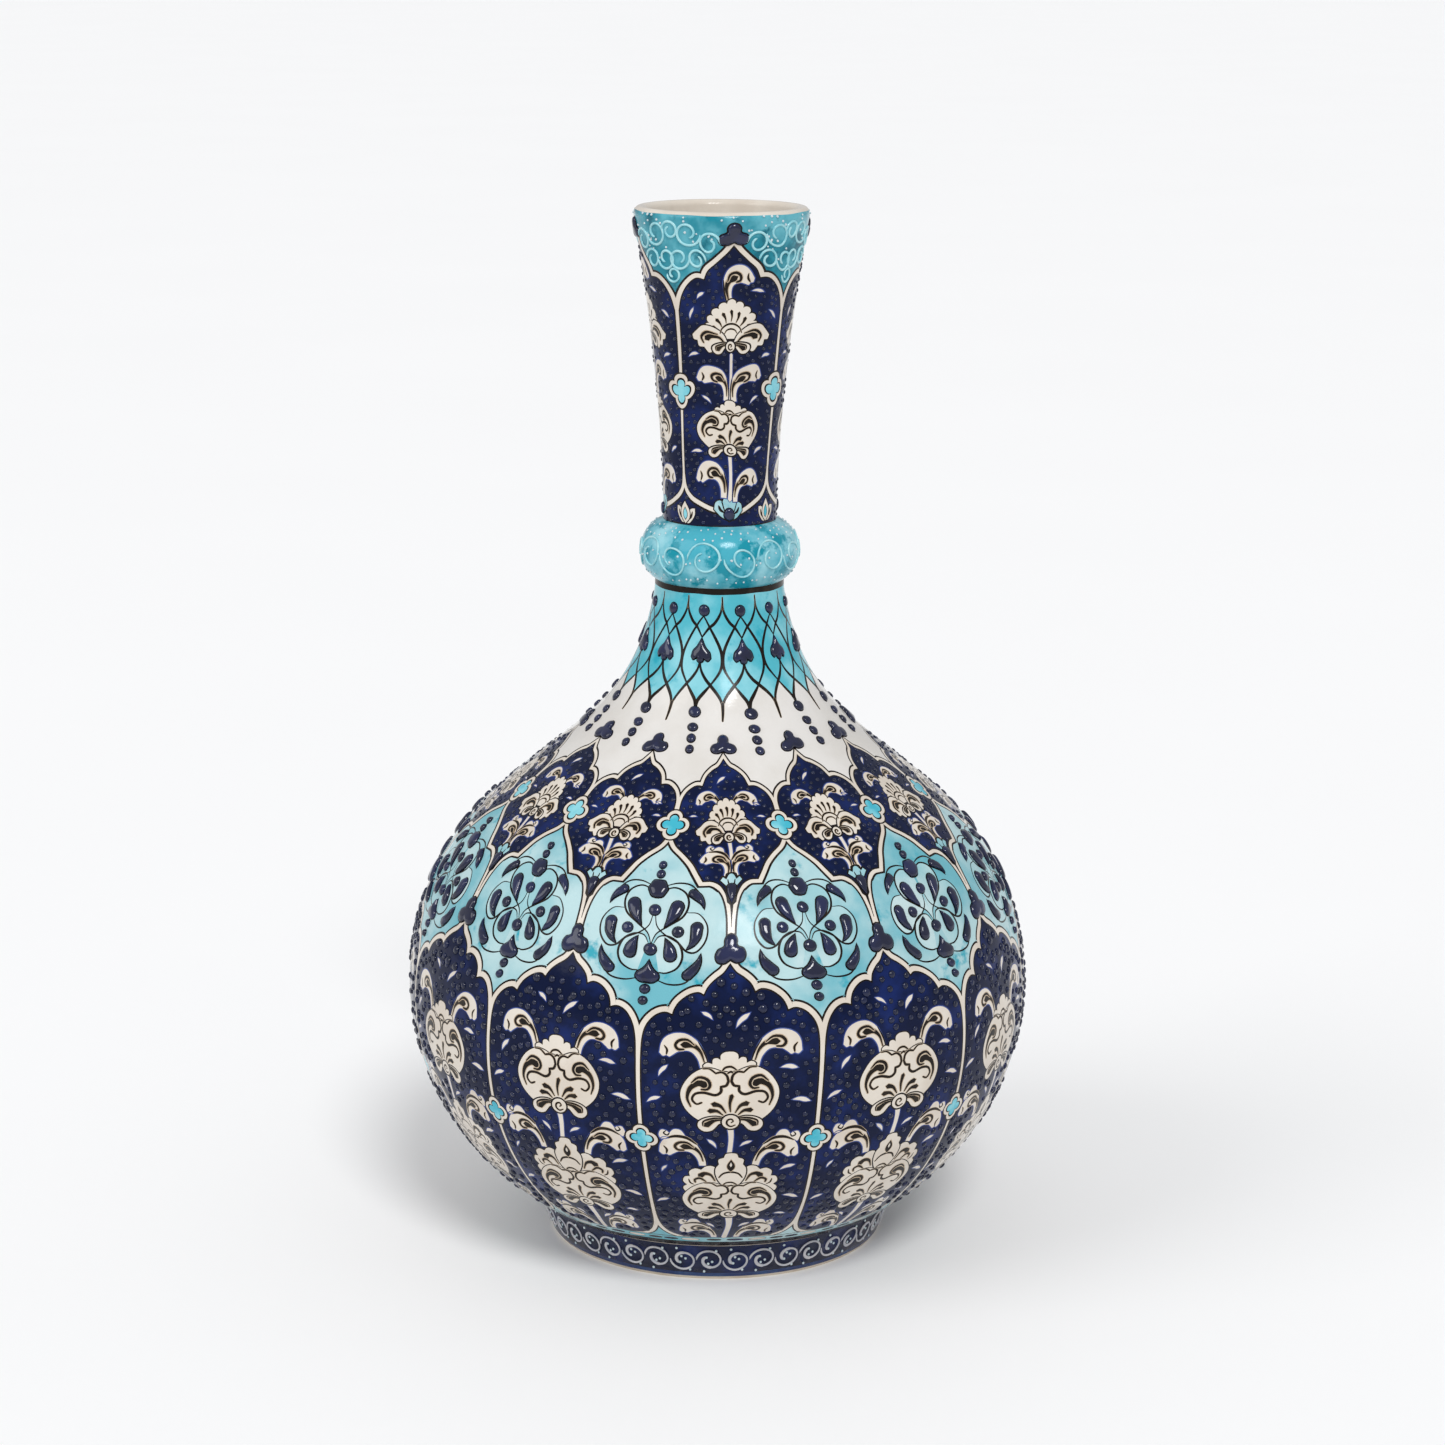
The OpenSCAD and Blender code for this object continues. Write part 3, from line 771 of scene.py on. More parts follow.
def upper_panel(belly):
    pen = belly.pen(SHORT_PANEL_R)
    pen.stalk(curve((0, 188.6), (0.3, 183), (0, 174.6)), (1.3, 1.0, 1.4))
    leaf(pen.moved(2.4, 203.2, 0.66, 10, 1), crest=False)
    leaf(pen.moved(-2.4, 203.2, 0.66, -8, -1), crest=False)
    leaf(pen.moved(1.5, 173.8, 0.66, -20, 1))
    leaf(pen.moved(-1.5, 173.8, 0.66, 20, -1))
    palmette(pen.moved(0, 190.2, (0.76, 1.0)))
    base = even(join(curve((0, 168.0), (1.3, 169.8), (3.3, 172.4)),
                     curve((3.3, 172.4), (2.6, 173.8), (1.5, 173.0)),
                     curve((1.5, 173.0), (1.3, 174.7), (0, 175.1))))
    pen.fill("turquoise", base, 0.45)
    pen.stroke(curve((-1.5, 173.1), (-1.0, 174.6), (0, 175.2), (1.0, 174.6), (1.5, 173.1)), (0.2, 0.5, 0.2),
               halo=0)
    for side in (-1, 1):
        pen.stroke(curve((side * 1.5, 172.8), (side * 2.6, 173.9), (side * 3.4, 172.5)), (0.2, 0.45, 0.2),
                   halo=0)
        pen.stroke(curve((side * 1.1, 172.6), (side * 0.9, 171.2), (side * 0.3, 169.6)), (0.2, 0.35, 0.15),
                   halo=0)
    for x, y, turn, size, side in [(-1.6, 216.4, -20, 0.8, 1), (13.4, 199.6, 15, 0.5, 1),
                                   (-13.4, 200.0, -15, 0.45, -1),
                                   (12.6, 205.3, 30, 0.4, 1)]:
        comma(pen, x, y, turn, size, side)
    quatrefoil(belly.pen(SHORT_PANEL_R, HALF_SECTOR), 0, 196, 5.9)


def cone_lattice(belly):
    """The laced lines and turquoise ground round the top of the cone."""
    pen = belly.pen(LATTICE_R)
    edge = 9.163
    ground = even(join(curve((0, 247), (0.5, 250.6), (2.0, 253.6), (4.6, 257.0)),
                       curve((4.6, 257.0), (7.0, 253.6), (8.7, 250.6), (edge, 247.6)),
                       np.array([[edge, 262.0]]), curve((edge, 262.0), (0, 262.0))))
    belly.belt("cone_turquoise", 262, 400)
    pen.fill("cone_turquoise", ground)
    for mirror in (1, -1):
        p = pen.moved(0, 0, 1, 0, mirror)
        line = dict(widths=(0.5, 0.95, 0.5), halo=0)
        p.stroke(curve((0.1, 288.5), (0.7, 285.0), (3.2, 281.2), (6.2, 278.8), (edge, 275.2)), **line)
        p.stroke(curve((edge, 283.2), (7.0, 280.8), (3.4, 275.8), (0.9, 271.0), (0.2, 266.8), (1.0, 262.6),
                       (4.6, 257.0)), **line)
        p.stroke(curve((edge, 266.4), (8.5, 263.0), (6.6, 259.6), (4.5, 257.0), (2.0, 253.6), (0.5, 250.6),
                       (0, 247)), **line)
        p.stroke(curve((4.6, 257.0), (7.0, 253.6), (8.7, 250.6), (edge, 246.8)), **line)
    pen.stroke(curve((0, 290.5), (0.1, 288), (0, 286)), (0.5, 0.6, 0.5), halo=0.1)
    pen.stroke(curve((0, 250), (0.1, 246), (0, 242.4)), (0.9, 0.7, 0.4), halo=0.1)
    rim = belly.pen(LATTICE_R, HALF_SECTOR)
    rim.fill("line", shift(spread(spade_edge(4.5), 0.4), 0, 269.6))
    rim.fill("line", round_spot(0, 285.3, 3.1, 0.75))
    for s, r, tall in PENDANTS:
        belly.pen(PENDANT_R, HALF_SECTOR).fill("line", round_spot(0, s, r + 0.3, tall))
    belly.pen(SHOULDER_R).fill("line", shift(spread(trefoil_edge(4.4), 0.35), 0, 232))
    belly.belt("line", 291.4, 400)


def belly_band():
    belly = Band(belly_line, SECTORS, SHORT_PANEL_R)
    fields(belly)
    bottom_strip(belly)
    lower_panel(belly)
    upper_panel(belly)
    cone_lattice(belly)
    low = belly.pen(BELLY_R)
    for x, y, edge in ARCH_TREFOIL:
        low.fill("line", shift(spread(edge, 0.5), x, y))
    belly.pen(SHORT_PANEL_R).fill("line", spread(drop_on(0, 169.4, 0, 163.2, 1.5, 0), 0.35))
    return belly


# ---------------------------------------------------------------- the neck's decoration

NECK_START = NECK_FOOT_Z - neck_line.points[0][1]


def neck_arch():
    """Right half of the neck's tall cobalt panel, from its point down."""
    return join(curve((0, 104.8), (1.6, 102.6), (4.6, 99.6), (7.8, 96.4), (9.4, 92.6)),
                curve((9.4, 92.6), (12.8, 92.4), (16.4, 89.8), (18.8, 86), (20.1, 81)),
                curve((20.1, 81), (20.1, 50), (20.1, 20)),
                curve((20.1, 20), (19.2, 15), (16.4, 11.4), (12.6, 9.2), (8.6, 7.8), (4.6, 6.6)),
                np.array([[0, 6.0]]))


def neck_band():
    neck = Band(neck_line, NECK_PANELS, NECK_PANEL_R)
    neck.belt("cobalt", -9, 400)
    neck.belt("rim_turquoise", NECK_START + 60, 400)
    neck.belt("white", neck_line.length - 1.3, 400)
    neck.belt("line", -9, NECK_START - 0.2)
    pen = neck.pen(NECK_PANEL_R, 0, y=NECK_START)
    panel = closed(neck_arch())
    for glaze_name, out in (("line", 2.9), ("white", 2.1), ("line", 0.5)):
        pen.fill(glaze_name, spread(panel, out))
    pen.fill("cobalt", panel)
    low_edge = neck.pen(NECK_PANEL_R, HALF_PANEL, y=NECK_START)
    for side in (-1, 1):
        tulip = low_edge.moved(0, 0, 1, 0, side)
        tulip.fill("white", join(curve((0, 0.6), (2.4, 0.8), (5.0, 3.6), (5.2, 6.2)),
                                 curve((5.2, 6.2), (3.0, 6.0), (0, 2.4))), 0.4)
        tulip.stroke(curve((1.4, 1.8), (3.2, 3.2), (3.9, 5.0)), (0.2, 0.7, 0.3), halo=0.1)
    low_edge.fill("white", even(curve((0, 0.4), (2.2, 2.6), (2.3, 5.6), (0, 9.0))), 0.45)
    low_edge.fill("bright_turquoise", even(curve((0, 2.0), (0.9, 3.2), (0.9, 4.8), (0, 6.4))), 0.3)
    for side in (-1, 1):
        fan_side = pen.moved(0, 0, 1, 0, side)
        fan_side.fill("turquoise", join(curve((0, 1.6), (3.4, 3.0), (6.4, 6.0)),
                                        curve((6.4, 6.0), (5.8, 8.6), (3.2, 8.8), (0, 3.0))), 0.5)
        fan_side.stroke(curve((2.4, 4.6), (3.8, 5.6), (4.6, 7.2)), (0.3, 0.8, 0.4), halo=0)
    pen.fill("turquoise",
             even(join(curve((0, 2.0), (1.8, 5.0), (3.0, 8.6)), curve((3.0, 8.6), (2.0, 10.8), (0, 11.2)))),
             0.5)
    pen.stalk(curve((0.6, 65), (0.6, 56), (0, 46)), (1.3, 1.1, 0.9))
    pen.stalk(curve((-0.2, 27), (0.2, 18), (0, 9.6)), (1.5, 1.2, 1.7))
    leaf(pen.moved(2.0, 47.4, 0.86, -14, 1), crest=False)
    leaf(pen.moved(-2.0, 47.4, 0.86, 12, -1), crest=False)
    leaf(pen.moved(2.6, 9.2, 0.84, -8, 1), crest=False)
    leaf(pen.moved(-2.6, 10.2, (0.86, 0.98), 8, -1), crest=False)
    pomegranate(pen.moved(0, 28.5, (0.85, 0.70)))
    leaf(pen.moved(-0.4, 83.6, (0.72, 0.98), -22, 1), crest=False)
    palmette(pen.moved(0, 68, 1.0))
    for x, y, turn, size, side in [(-11.5, 86.6, -30, 0.7, 1), (9.4, 88, 30, 0.7, 1),
                                   (-15.6, 79.6, -50, 0.7, 1), (16.0, 79.5, 50, 0.7, 1),
                                   (-15, 64, 10, 0.7, 1), (15, 63.5, -10, 0.7, 1),
                                   (-10.5, 47.4, 20, 0.6, -1), (11, 47, -10, 0.7, 1),
                                   (-14.4, 27.8, 20, 0.7, 1), (14.6, 27.6, -20, 0.7, 1)]:
        comma(pen, x, y, turn, size, side)
    quatrefoil(neck.pen(NECK_PANEL_R, HALF_PANEL, y=NECK_START), 0, 51.0, 6.0)
    pen.fill("line", shift(spread(trefoil_edge(4.2), 0.45), 0, 109.4))
    pen.fill("line", round_spot(0, 3.9, 2.7))
    return neck


# ---------------------------------------------------------------- from flat layout to clay

def wobble(turn, s, length):
    """How far the painter's hand strays, in mm round and along the clay; nothing at the ends."""
    hold = np.sin(np.pi * np.clip(s / length, 0, 1)) ** 0.5
    sideways = 0.55 * np.sin(5 * turn + 0.045 * s) + 0.35 * np.sin(11 * turn - 0.07 * s + 1.1)
    along = 0.6 * np.sin(7 * turn + 2.0 + 0.03 * s) + 0.35 * np.sin(13 * turn + 0.5)
    return sideways * hold, along * hold


def wider_front(turn, s):
    """The painter set out the tall panels a little wider at the front and back; mm round the belly."""
    fade = np.clip((142 - s) / 26, 0, 1)
    return 4.2 * np.sin(2 * turn) * fade * fade * (3 - 2 * fade)


def wrap(line, lay_r, flat, turn=0.0, stray=True):
    """Flat layout points (x round, y along, height) as points in space, in metres."""
    angle, s, height = flat[:, 0] / lay_r + math.radians(turn), flat[:, 1], flat[:, 2]
    if stray:
        sideways, along = wobble(angle, s, line.length)
        s = s + along
        if line is belly_line:
            sideways = sideways + wider_front(angle, s)
        angle = angle + sideways / line.at(s)[:, 0]
    place, out = line.at(s), line.out_at(s)
    r, z = place[:, 0] + height * out[:, 0], place[:, 1] + height * out[:, 1]
    return np.stack([r * np.sin(angle), -r * np.cos(angle), z], axis=1) * MM


def inside(outline, spots):
    """Which spots an outline winds round."""
    a, b = outline, np.roll(outline, -1, axis=0)
    x, y = spots[:, :1], spots[:, 1:]
    left = (b[:, 0] - a[:, 0]) * (y - a[:, 1]) - (x - a[:, 0]) * (b[:, 1] - a[:, 1])
    up = (a[:, 1] <= y) & (b[:, 1] > y) & (left > 0)
    down = (a[:, 1] > y) & (b[:, 1] <= y) & (left < 0)
    return (up.sum(axis=1) - down.sum(axis=1)) != 0


def painted_sheet(band, low, high, across=12, step=4.0):
    """One repeat of a band between two distances along it: points, triangles and their glazes."""
    half = band.width / 2
    rows = max(2, round((high - low) / step))
    xs, ys = np.linspace(-half, half, across + 1), np.linspace(low, high, rows + 1)
    grid = [(x, y) for y in ys for x in xs]
    n = across + 1
    edges = [(i, i + 1) for r in (0, rows) for i in range(r * n, r * n + across)]
    edges += [(r * n + c, (r + 1) * n + c) for c in (0, across) for r in range(rows)]
    shapes = []
    for glaze_name, points in band.shapes:
        for copy in (-1, 0, 1):
            p = points + (copy * band.width, 0)
            lowest, highest = p.min(axis=0), p.max(axis=0)
            if highest[0] > -half and lowest[0] < half and highest[1] > low and lowest[1] < high:
                shapes.append((GLAZE_ORDER.index(glaze_name), p, lowest, highest))
    points = [Vector(p) for p in grid]
    for _, p, _, _ in shapes:
        first = len(points)
        points += [Vector(q) for q in p]
        edges += [(first + i, first + (i + 1) % len(p)) for i in range(len(p))]
    made, _, faces, *_ = delaunay_2d_cdt(points, edges, [], 0, 1e-5, False)
    spots, faces = np.array(made, float), np.array([f for f in faces if len(f) == 3])
    middle = spots[faces].mean(axis=1)
    keep = (abs(middle[:, 0]) < half) & (middle[:, 1] > low) & (middle[:, 1] < high)
    faces, middle = faces[keep], middle[keep]
    tone = np.zeros(len(faces), int)
    for index, p, lowest, highest in shapes:
        near = np.nonzero(((middle > lowest) & (middle < highest)).all(axis=1))[0]
        if len(near):
            tone[near[inside(p, middle[near])]] = index
    used, inverse = np.unique(faces, return_inverse=True)
    return np.column_stack([spots[used], np.zeros(len(used))]), inverse.reshape(-1, 3), tone


def mesh_of(name, points, faces, tones=None, glazes=None):
    mesh = bpy.data.meshes.new(name)
    mesh.from_pydata([tuple(p) for p in points], [], [tuple(int(i) for i in f) for f in faces])
    for glaze_name in glazes or GLAZE_ORDER:
        mesh.materials.append(GLAZES[glaze_name])
    if tones is not None:
        mesh.polygons.foreach_set("material_index", np.array(tones, np.int32))
    return mesh


def thing(name, mesh):
    made = bpy.data.objects.new(name, mesh)
    bpy.context.scene.collection.objects.link(made)
    return made


def tree_of(name, inputs):
    """An empty Geometry Nodes tree with named inputs; gives the tree and its two end nodes."""
    tree = bpy.data.node_groups.new(name, "GeometryNodeTree")
    tree.interface.new_socket("Geometry", in_out="INPUT", socket_type="NodeSocketGeometry")
    for label, kind in inputs.items():
        tree.interface.new_socket(label, in_out="INPUT", socket_type=kind)
    tree.interface.new_socket("Geometry", in_out="OUTPUT", socket_type="NodeSocketGeometry")
    return tree, tree.nodes.new("NodeGroupInput"), tree.nodes.new("NodeGroupOutput")


def add(tree, kind, settings=None, sockets=None):
    made = tree.nodes.new(kind)
    for key, value in (settings or {}).items():
        setattr(made, key, value)
    for key, value in (sockets or {}).items():
        if isinstance(value, bpy.types.NodeSocket):
            tree.links.new(value, made.inputs[key])
        else:
            made.inputs[key].default_value = value
    return made


def row_tree():
    """Lays copies of one flat repeat side by side."""
    tree, start, end = tree_of("side_by_side", {"Count": "NodeSocketInt", "Width": "NodeSocketFloat"})
    step = add(tree, "ShaderNodeCombineXYZ", {}, {"X": start.outputs["Width"]})
    row = add(tree, "GeometryNodeMeshLine", {}, {"Count": start.outputs["Count"], "Offset": step.outputs[0]})
    copies = add(tree, "GeometryNodeInstanceOnPoints", {},
                 {"Points": row.outputs[0], "Instance": start.outputs["Geometry"]})
    solid = add(tree, "GeometryNodeRealizeInstances", {}, {"Geometry": copies.outputs[0]})
    tree.links.new(solid.outputs[0], end.inputs[0])
    return tree


BEAD_FLATNESS = 0.52
BEAD_SIZES = (0.75, 1.15)  # smallest and largest, against the size asked for


def beads_tree():
    """Scatters round beads over a field, apart from each other, standing on its surface."""
    tree, start, end = tree_of("slip_beads", {"Gap": "NodeSocketFloat", "Size": "NodeSocketFloat",
                                              "Seed": "NodeSocketInt", "Glaze": "NodeSocketMaterial"})
    spots = add(tree, "GeometryNodeDistributePointsOnFaces", {"distribute_method": "POISSON"},
                {"Mesh": start.outputs["Geometry"], "Distance Min": start.outputs["Gap"],
                 "Density Max": 4.0e5, "Seed": start.outputs["Seed"]})
    ball = add(tree, "GeometryNodeMeshUVSphere", {},
               {"Segments": 9, "Rings": 5, "Radius": start.outputs["Size"]})
    flat = add(tree, "GeometryNodeTransform", {},
               {"Geometry": ball.outputs[0], "Scale": (1, 1, BEAD_FLATNESS)})
    vary = add(tree, "FunctionNodeRandomValue", {"data_type": "FLOAT"}, {"Seed": start.outputs["Seed"]})
    vary.inputs[2].default_value, vary.inputs[3].default_value = BEAD_SIZES
    beads = add(tree, "GeometryNodeInstanceOnPoints", {},
                {"Points": spots.outputs["Points"], "Instance": flat.outputs[0],
                 "Rotation": spots.outputs["Rotation"], "Scale": vary.outputs[1]})
    solid = add(tree, "GeometryNodeRealizeInstances", {}, {"Geometry": beads.outputs[0]})
    smooth = add(tree, "GeometryNodeSetShadeSmooth", {}, {"Geometry": solid.outputs[0]})
    coloured = add(tree, "GeometryNodeSetMaterial", {},
                   {"Geometry": smooth.outputs[0], "Material": start.outputs["Glaze"]})
    tree.links.new(coloured.outputs[0], end.inputs[0])
    return tree


def grown(source, name, tree, **values):
    """The plain mesh that a tree makes from an object, which is then thrown away."""
    step = source.modifiers.new(tree.name, "NODES")
    step.node_group = tree
    for item in tree.interface.items_tree:
        if item.in_out == "INPUT" and item.name in values:
            step[item.identifier] = values[item.name]
    ready = source.evaluated_get(bpy.context.evaluated_depsgraph_get())
    mesh = bpy.data.meshes.new_from_object(ready)
    mesh.name = name
    bpy.data.objects.remove(source)
    return mesh


SIDE_BY_SIDE = row_tree()
SLIP_BEADS = beads_tree()


def spots_of(mesh):
    co = np.empty(len(mesh.vertices) * 3)
    mesh.vertices.foreach_get("co", co)
    return co.reshape(-1, 3)


def round_the_clay(band, name, points, faces, tones=None, glazes=None, turn=0.0, stray=True):
    """One flat repeat laid out in a row, wrapped round the clay, with its seam closed."""
    # metres, so that the row is laid in the same unit as the rest of the scene
    flat = thing(name, mesh_of(name, np.array(points) * MM, faces, tones, glazes))
    mesh = grown(flat, name, SIDE_BY_SIDE, Count=band.repeats, Width=band.width * MM)
    placed = wrap(band.line, band.lay_r, spots_of(mesh) / MM, turn, stray)
    mesh.vertices.foreach_set("co", placed.ravel())
    mesh.update()
    return mesh


@contextmanager
def edited(mesh):
    """A mesh opened for editing, and written back at the end."""
    made = bmesh.new()
    made.from_mesh(mesh)
    yield made
    made.to_mesh(mesh)
    made.free()


def weld(mesh):
    """Closes the seams of raised slip and turns its faces outwards."""
    with edited(mesh) as made:
        bmesh.ops.remove_doubles(made, verts=made.verts, dist=SLIVER)
        bmesh.ops.dissolve_degenerate(made, dist=SLIVER, edges=made.edges)
        bmesh.ops.recalc_face_normals(made, faces=made.faces)


def smooth(mesh):
    mesh.polygons.foreach_set("use_smooth", [True] * len(mesh.polygons))
    mesh.update()


# ---------------------------------------------------------------- clay shells

def ring(mesh_points, count, r, z):
    """Adds a ring of points about the axis, and gives their numbers."""
    a = np.arange(count) * TAU / count
    first = len(mesh_points)
    mesh_points += [(r * math.sin(t) * MM, -r * math.cos(t) * MM, z * MM) for t in a]
    return list(range(first, first + count))


def zip_rings(points, low, high):
    """Triangles between two rings about the axis that have different numbers of points."""
    def by_turn(loop):
        turned = sorted((math.atan2(points[i][0], -points[i][1]) % TAU, i) for i in loop)
        return [t for t, _ in turned] + [turned[0][0] + TAU], [i for _, i in turned] + [turned[0][1]]
    (ta, a), (tb, b) = by_turn(low), by_turn(high)
    faces, i, j = [], 0, 0
    while i < len(a) - 1 or j < len(b) - 1:
        if j == len(b) - 1 or (i < len(a) - 1 and ta[i + 1] <= tb[j + 1]):
            faces.append((a[i], a[i + 1], b[j]))
            i += 1
        else:
            faces.append((a[i], b[j + 1], b[j]))
            j += 1
    return faces


def closing_wall(points, start_loop, profile, end_loop=None, count=96):
    """Carries a surface on from one ring through a profile to a second ring, or to a point on the axis."""
    faces, before = [], start_loop
    for r, z in profile:
        if r < 0.01:
            points.append((0.0, 0.0, z * MM))
            tip = len(points) - 1
            loop = before if before is not start_loop else sorted(
                start_loop, key=lambda i: math.atan2(points[i][0], -points[i][1]) % TAU)
            faces += [(loop[k], loop[(k + 1) % len(loop)], tip) for k in range(len(loop))]
            return faces
        now = ring(points, count, r, z)
        if before is start_loop:
            faces += zip_rings(points, before, now)
        else:
            faces += [(before[k], before[(k + 1) % count], now[(k + 1) % count], now[k])
                      for k in range(count)]
        before = now
    if end_loop is not None:
        faces += zip_rings(points, before, end_loop)
    return faces


def clay_piece(name, band, low, high, walls, turn=0.0, stray=True, across=12, step=4.0):
    """A painted stretch of a band, closed behind by plain walls: (start, profile, end, glaze) each."""
    points, faces, tones = painted_sheet(band, low, high, across, step)
    mesh = round_the_clay(band, name, points, faces, tones, None, turn, stray)
    with edited(mesh) as made:
        bmesh.ops.remove_doubles(made, verts=made.verts, dist=SEAM_GAP)
    all_points = [tuple(p) for p in spots_of(mesh)]
    painted = len(all_points)
    heights = np.array(all_points)[:, 2] / MM
    z_low, z_high = band.line.at(low)[1], band.line.at(high)[1]
    rim_edges = boundary(mesh)
    rims = {"low": [i for i in rim_edges if abs(heights[i] - z_low) < 0.02],
              "high": [i for i in rim_edges if abs(heights[i] - z_high) < 0.02]}
    all_faces = [tuple(p.vertices) for p in mesh.polygons]
    all_tones = [p.material_index for p in mesh.polygons]
    for start, profile, end, glaze_name in walls:
        extra = closing_wall(all_points, rims[start], profile, rims[end] if end else None)
        all_faces += extra
        all_tones += [GLAZE_ORDER.index(glaze_name)] * len(extra)
    whole = mesh_of(name, all_points, all_faces, all_tones)
    bpy.data.meshes.remove(mesh)
    with edited(whole) as made:
        bmesh.ops.recalc_face_normals(made, faces=made.faces)
    smooth(whole)
    true_normals(whole, band.line, painted)
    return thing(name, whole)


def boundary(mesh):
    """Vertices on the open edges of a mesh."""
    made = bmesh.new()
    made.from_mesh(mesh)
    kept = {v.index for e in made.edges if e.is_boundary for v in e.verts}
    made.free()
    return kept


def true_normals(mesh, line, painted):
    """The painted face gets the clay's own normals, so that its gloss is even."""
    co = spots_of(mesh) / MM
    normals = np.zeros((len(co), 3))
    s = np.interp(co[:painted, 2], line.points[:, 1], line.walk)
    out = line.out_at(s)
    angle = np.arctan2(co[:painted, 0], -co[:painted, 1])
    normals[:painted] = np.stack([out[:, 0] * np.sin(angle), -out[:, 0] * np.cos(angle), out[:, 1]], axis=1)
    mesh.normals_split_custom_set_from_vertices([tuple(n) for n in normals])


# ---------------------------------------------------------------- raised slip

class Relief:
    """Raised slip of one repeat, laid out flat: x round, y along, z out."""

    def __init__(self, band):
        self.band, self.points, self.faces = band, [], []

    def ring(self, pen, outline, height):
        flat = pen.flat(pen.spot(outline))
        first = len(self.points)
        self.points += [(x, y, height) for x, y in flat]
        return range(first, first + len(flat))

    def boss(self, pen, outline, height, sink=0.3):
        """A domed piece with this outline."""
        outline = outline if area(outline) > 0 else outline[::-1]
        centre = outline.mean(axis=0)
        levels = [(1.0, -sink), (1.0, 0.25 * height), (0.94, 0.52 * height), (0.82, 0.76 * height),
                  (0.62, 0.92 * height), (0.32, 0.99 * height)]
        rings = [self.ring(pen, centre + (outline - centre) * f, h) for f, h in levels]
        n = len(outline)
        for a, b in zip(rings, rings[1:]):
            self.faces += [(a[k], a[(k + 1) % n], b[(k + 1) % n], b[k]) for k in range(n)]
        for loop, h, back in ((rings[-1], height, False), (rings[0], -sink, True)):
            self.points.append((*pen.flat(pen.spot(centre[None]))[0], h))
            tip = len(self.points) - 1
            for k in range(n):
                a, b = loop[k], loop[(k + 1) % n]
                self.faces.append((b, a, tip) if back else (a, b, tip))

    def trail(self, pen, path, width, height, sink=0.2):
        """A line of slip squeezed from a nozzle, with rounded ends."""
        p = pen.spot(path)
        walk = np.concatenate([[0], np.cumsum(np.linalg.norm(np.diff(p, axis=0), axis=1))])
        fade = np.minimum(1, np.minimum(walk, walk[-1] - walk) / width + 0.35)
        along = np.gradient(p, walk, axis=0)
        along /= np.linalg.norm(along, axis=1)[:, None]
        side = np.stack([along[:, 1], -along[:, 0]], axis=1)
        section = [(-1.0, None), (-0.9, 0.45), (-0.45, 0.9), (0.0, 1.0), (0.45, 0.9), (0.9, 0.45),
                   (1.0, None)]
        first, n = len(self.points), len(section)
        for k in range(len(p)):
            for across, up in section:
                x, y = pen.flat((p[k] + side[k] * across * fade[k] * width / 2)[None])[0]
                self.points.append((x, y, -sink if up is None else height * up * fade[k]))
        for k in range(len(p) - 1):
            a, b = first + k * n, first + (k + 1) * n
            self.faces += [(a + j, a + (j + 1) % n, b + (j + 1) % n, b + j) for j in range(n)]
        self.faces += [tuple(first + j for j in range(n))[::-1],
                       tuple(first + (len(p) - 1) * n + j for j in range(n))]

    def piece(self, name, glaze_name, turn=0.0, stray=True):
        mesh = round_the_clay(self.band, name, self.points, self.faces, None, [glaze_name], turn, stray)
        weld(mesh)
        smooth(mesh)
        return thing(name, mesh)


def kept(piece, slot, *nodes):
    """Puts a finished piece on the vase, in place of the CAD nodes it stands for."""
    if nodes:
        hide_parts(*nodes)
    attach(piece, "root")
    return piece


def offset_inwards(line, thick, low, high, count=24):
    """The inner face of a wall, as radii and heights from low to high."""
    s = np.linspace(low, high, count)
    inner = line.at(s) - np.array(thick(line.at(s)[:, 1]))[:, None] * line.out_at(s)
    return [tuple(p) for p in inner]


# ---------------------------------------------------------------- making the vase

def make_belly():
    belly = belly_band()
    middle = belly_line.at_height(BELLY_Z)
    cone_low = belly_line.at_height(reach("upper_belly")[2] - 2)
    top = belly_line.at_height(CONE_TOP_Z + 3.5)

    def thick(z):
        return np.interp(z, [SWEEP_Z, JOINT_Z], [WALL, CONE_TOP_WALL])

    inner = offset_inwards(belly_line, thick, 20, middle)
    floor_top = FLOOR_Z + FLOOR_THICK
    floor = [(66, floor_top + 3), (60, floor_top), (30, floor_top), (0, floor_top)]
    under = [(66, 13.5), (57, FLOOR_Z), (30, FLOOR_Z), (0, FLOOR_Z)]
    lower = clay_piece("lower_bowl", belly, 0, middle,
                       [("high", inner[::-1] + floor, None, "white"), ("low", under, None, "clay")])
    kept(lower, "belly_glaze", "lower_belly")
    upper = clay_piece("upper_bowl", belly, middle, cone_low,
                       [("high", offset_inwards(belly_line, thick, middle, cone_low)[::-1], "low", "white")])
    kept(upper, "belly_glaze", "upper_belly")
    cone = clay_piece("cone_under_neck", belly, cone_low, top,
                      [("high", offset_inwards(belly_line, thick, cone_low, top)[::-1], "low", "white")])
    kept(cone, "belly_glaze", "shoulder_cone")
    return belly


def make_neck():
    neck = neck_band()
    wall_top = neck_line.at_height(TOTAL_H - LIP_R)
    centre = neck_line.at(wall_top) - (LIP_R, 0)
    lip = [tuple(centre + LIP_R * np.array([math.cos(a), math.sin(a)]))
           for a in np.radians(np.linspace(LIP_TURN, 180, 10)[1:-1])]
    inside_wall = [(r - LIP_THICK, z) for r, z in neck_line.at(np.linspace(0, wall_top, 30))][::-1]
    spigot = [(WAIST_R - LIP_THICK, JOINT_Z), (WAIST_R, JOINT_Z)]
    tube = clay_piece("flared_neck", neck, 0, neck_line.length,
                      [("high", lip + inside_wall + spigot, "low", "white")],
                      turn=NECK_TURN, across=24, step=3.5)
    kept(tube, "neck_glaze", "neck_tube")
    return neck


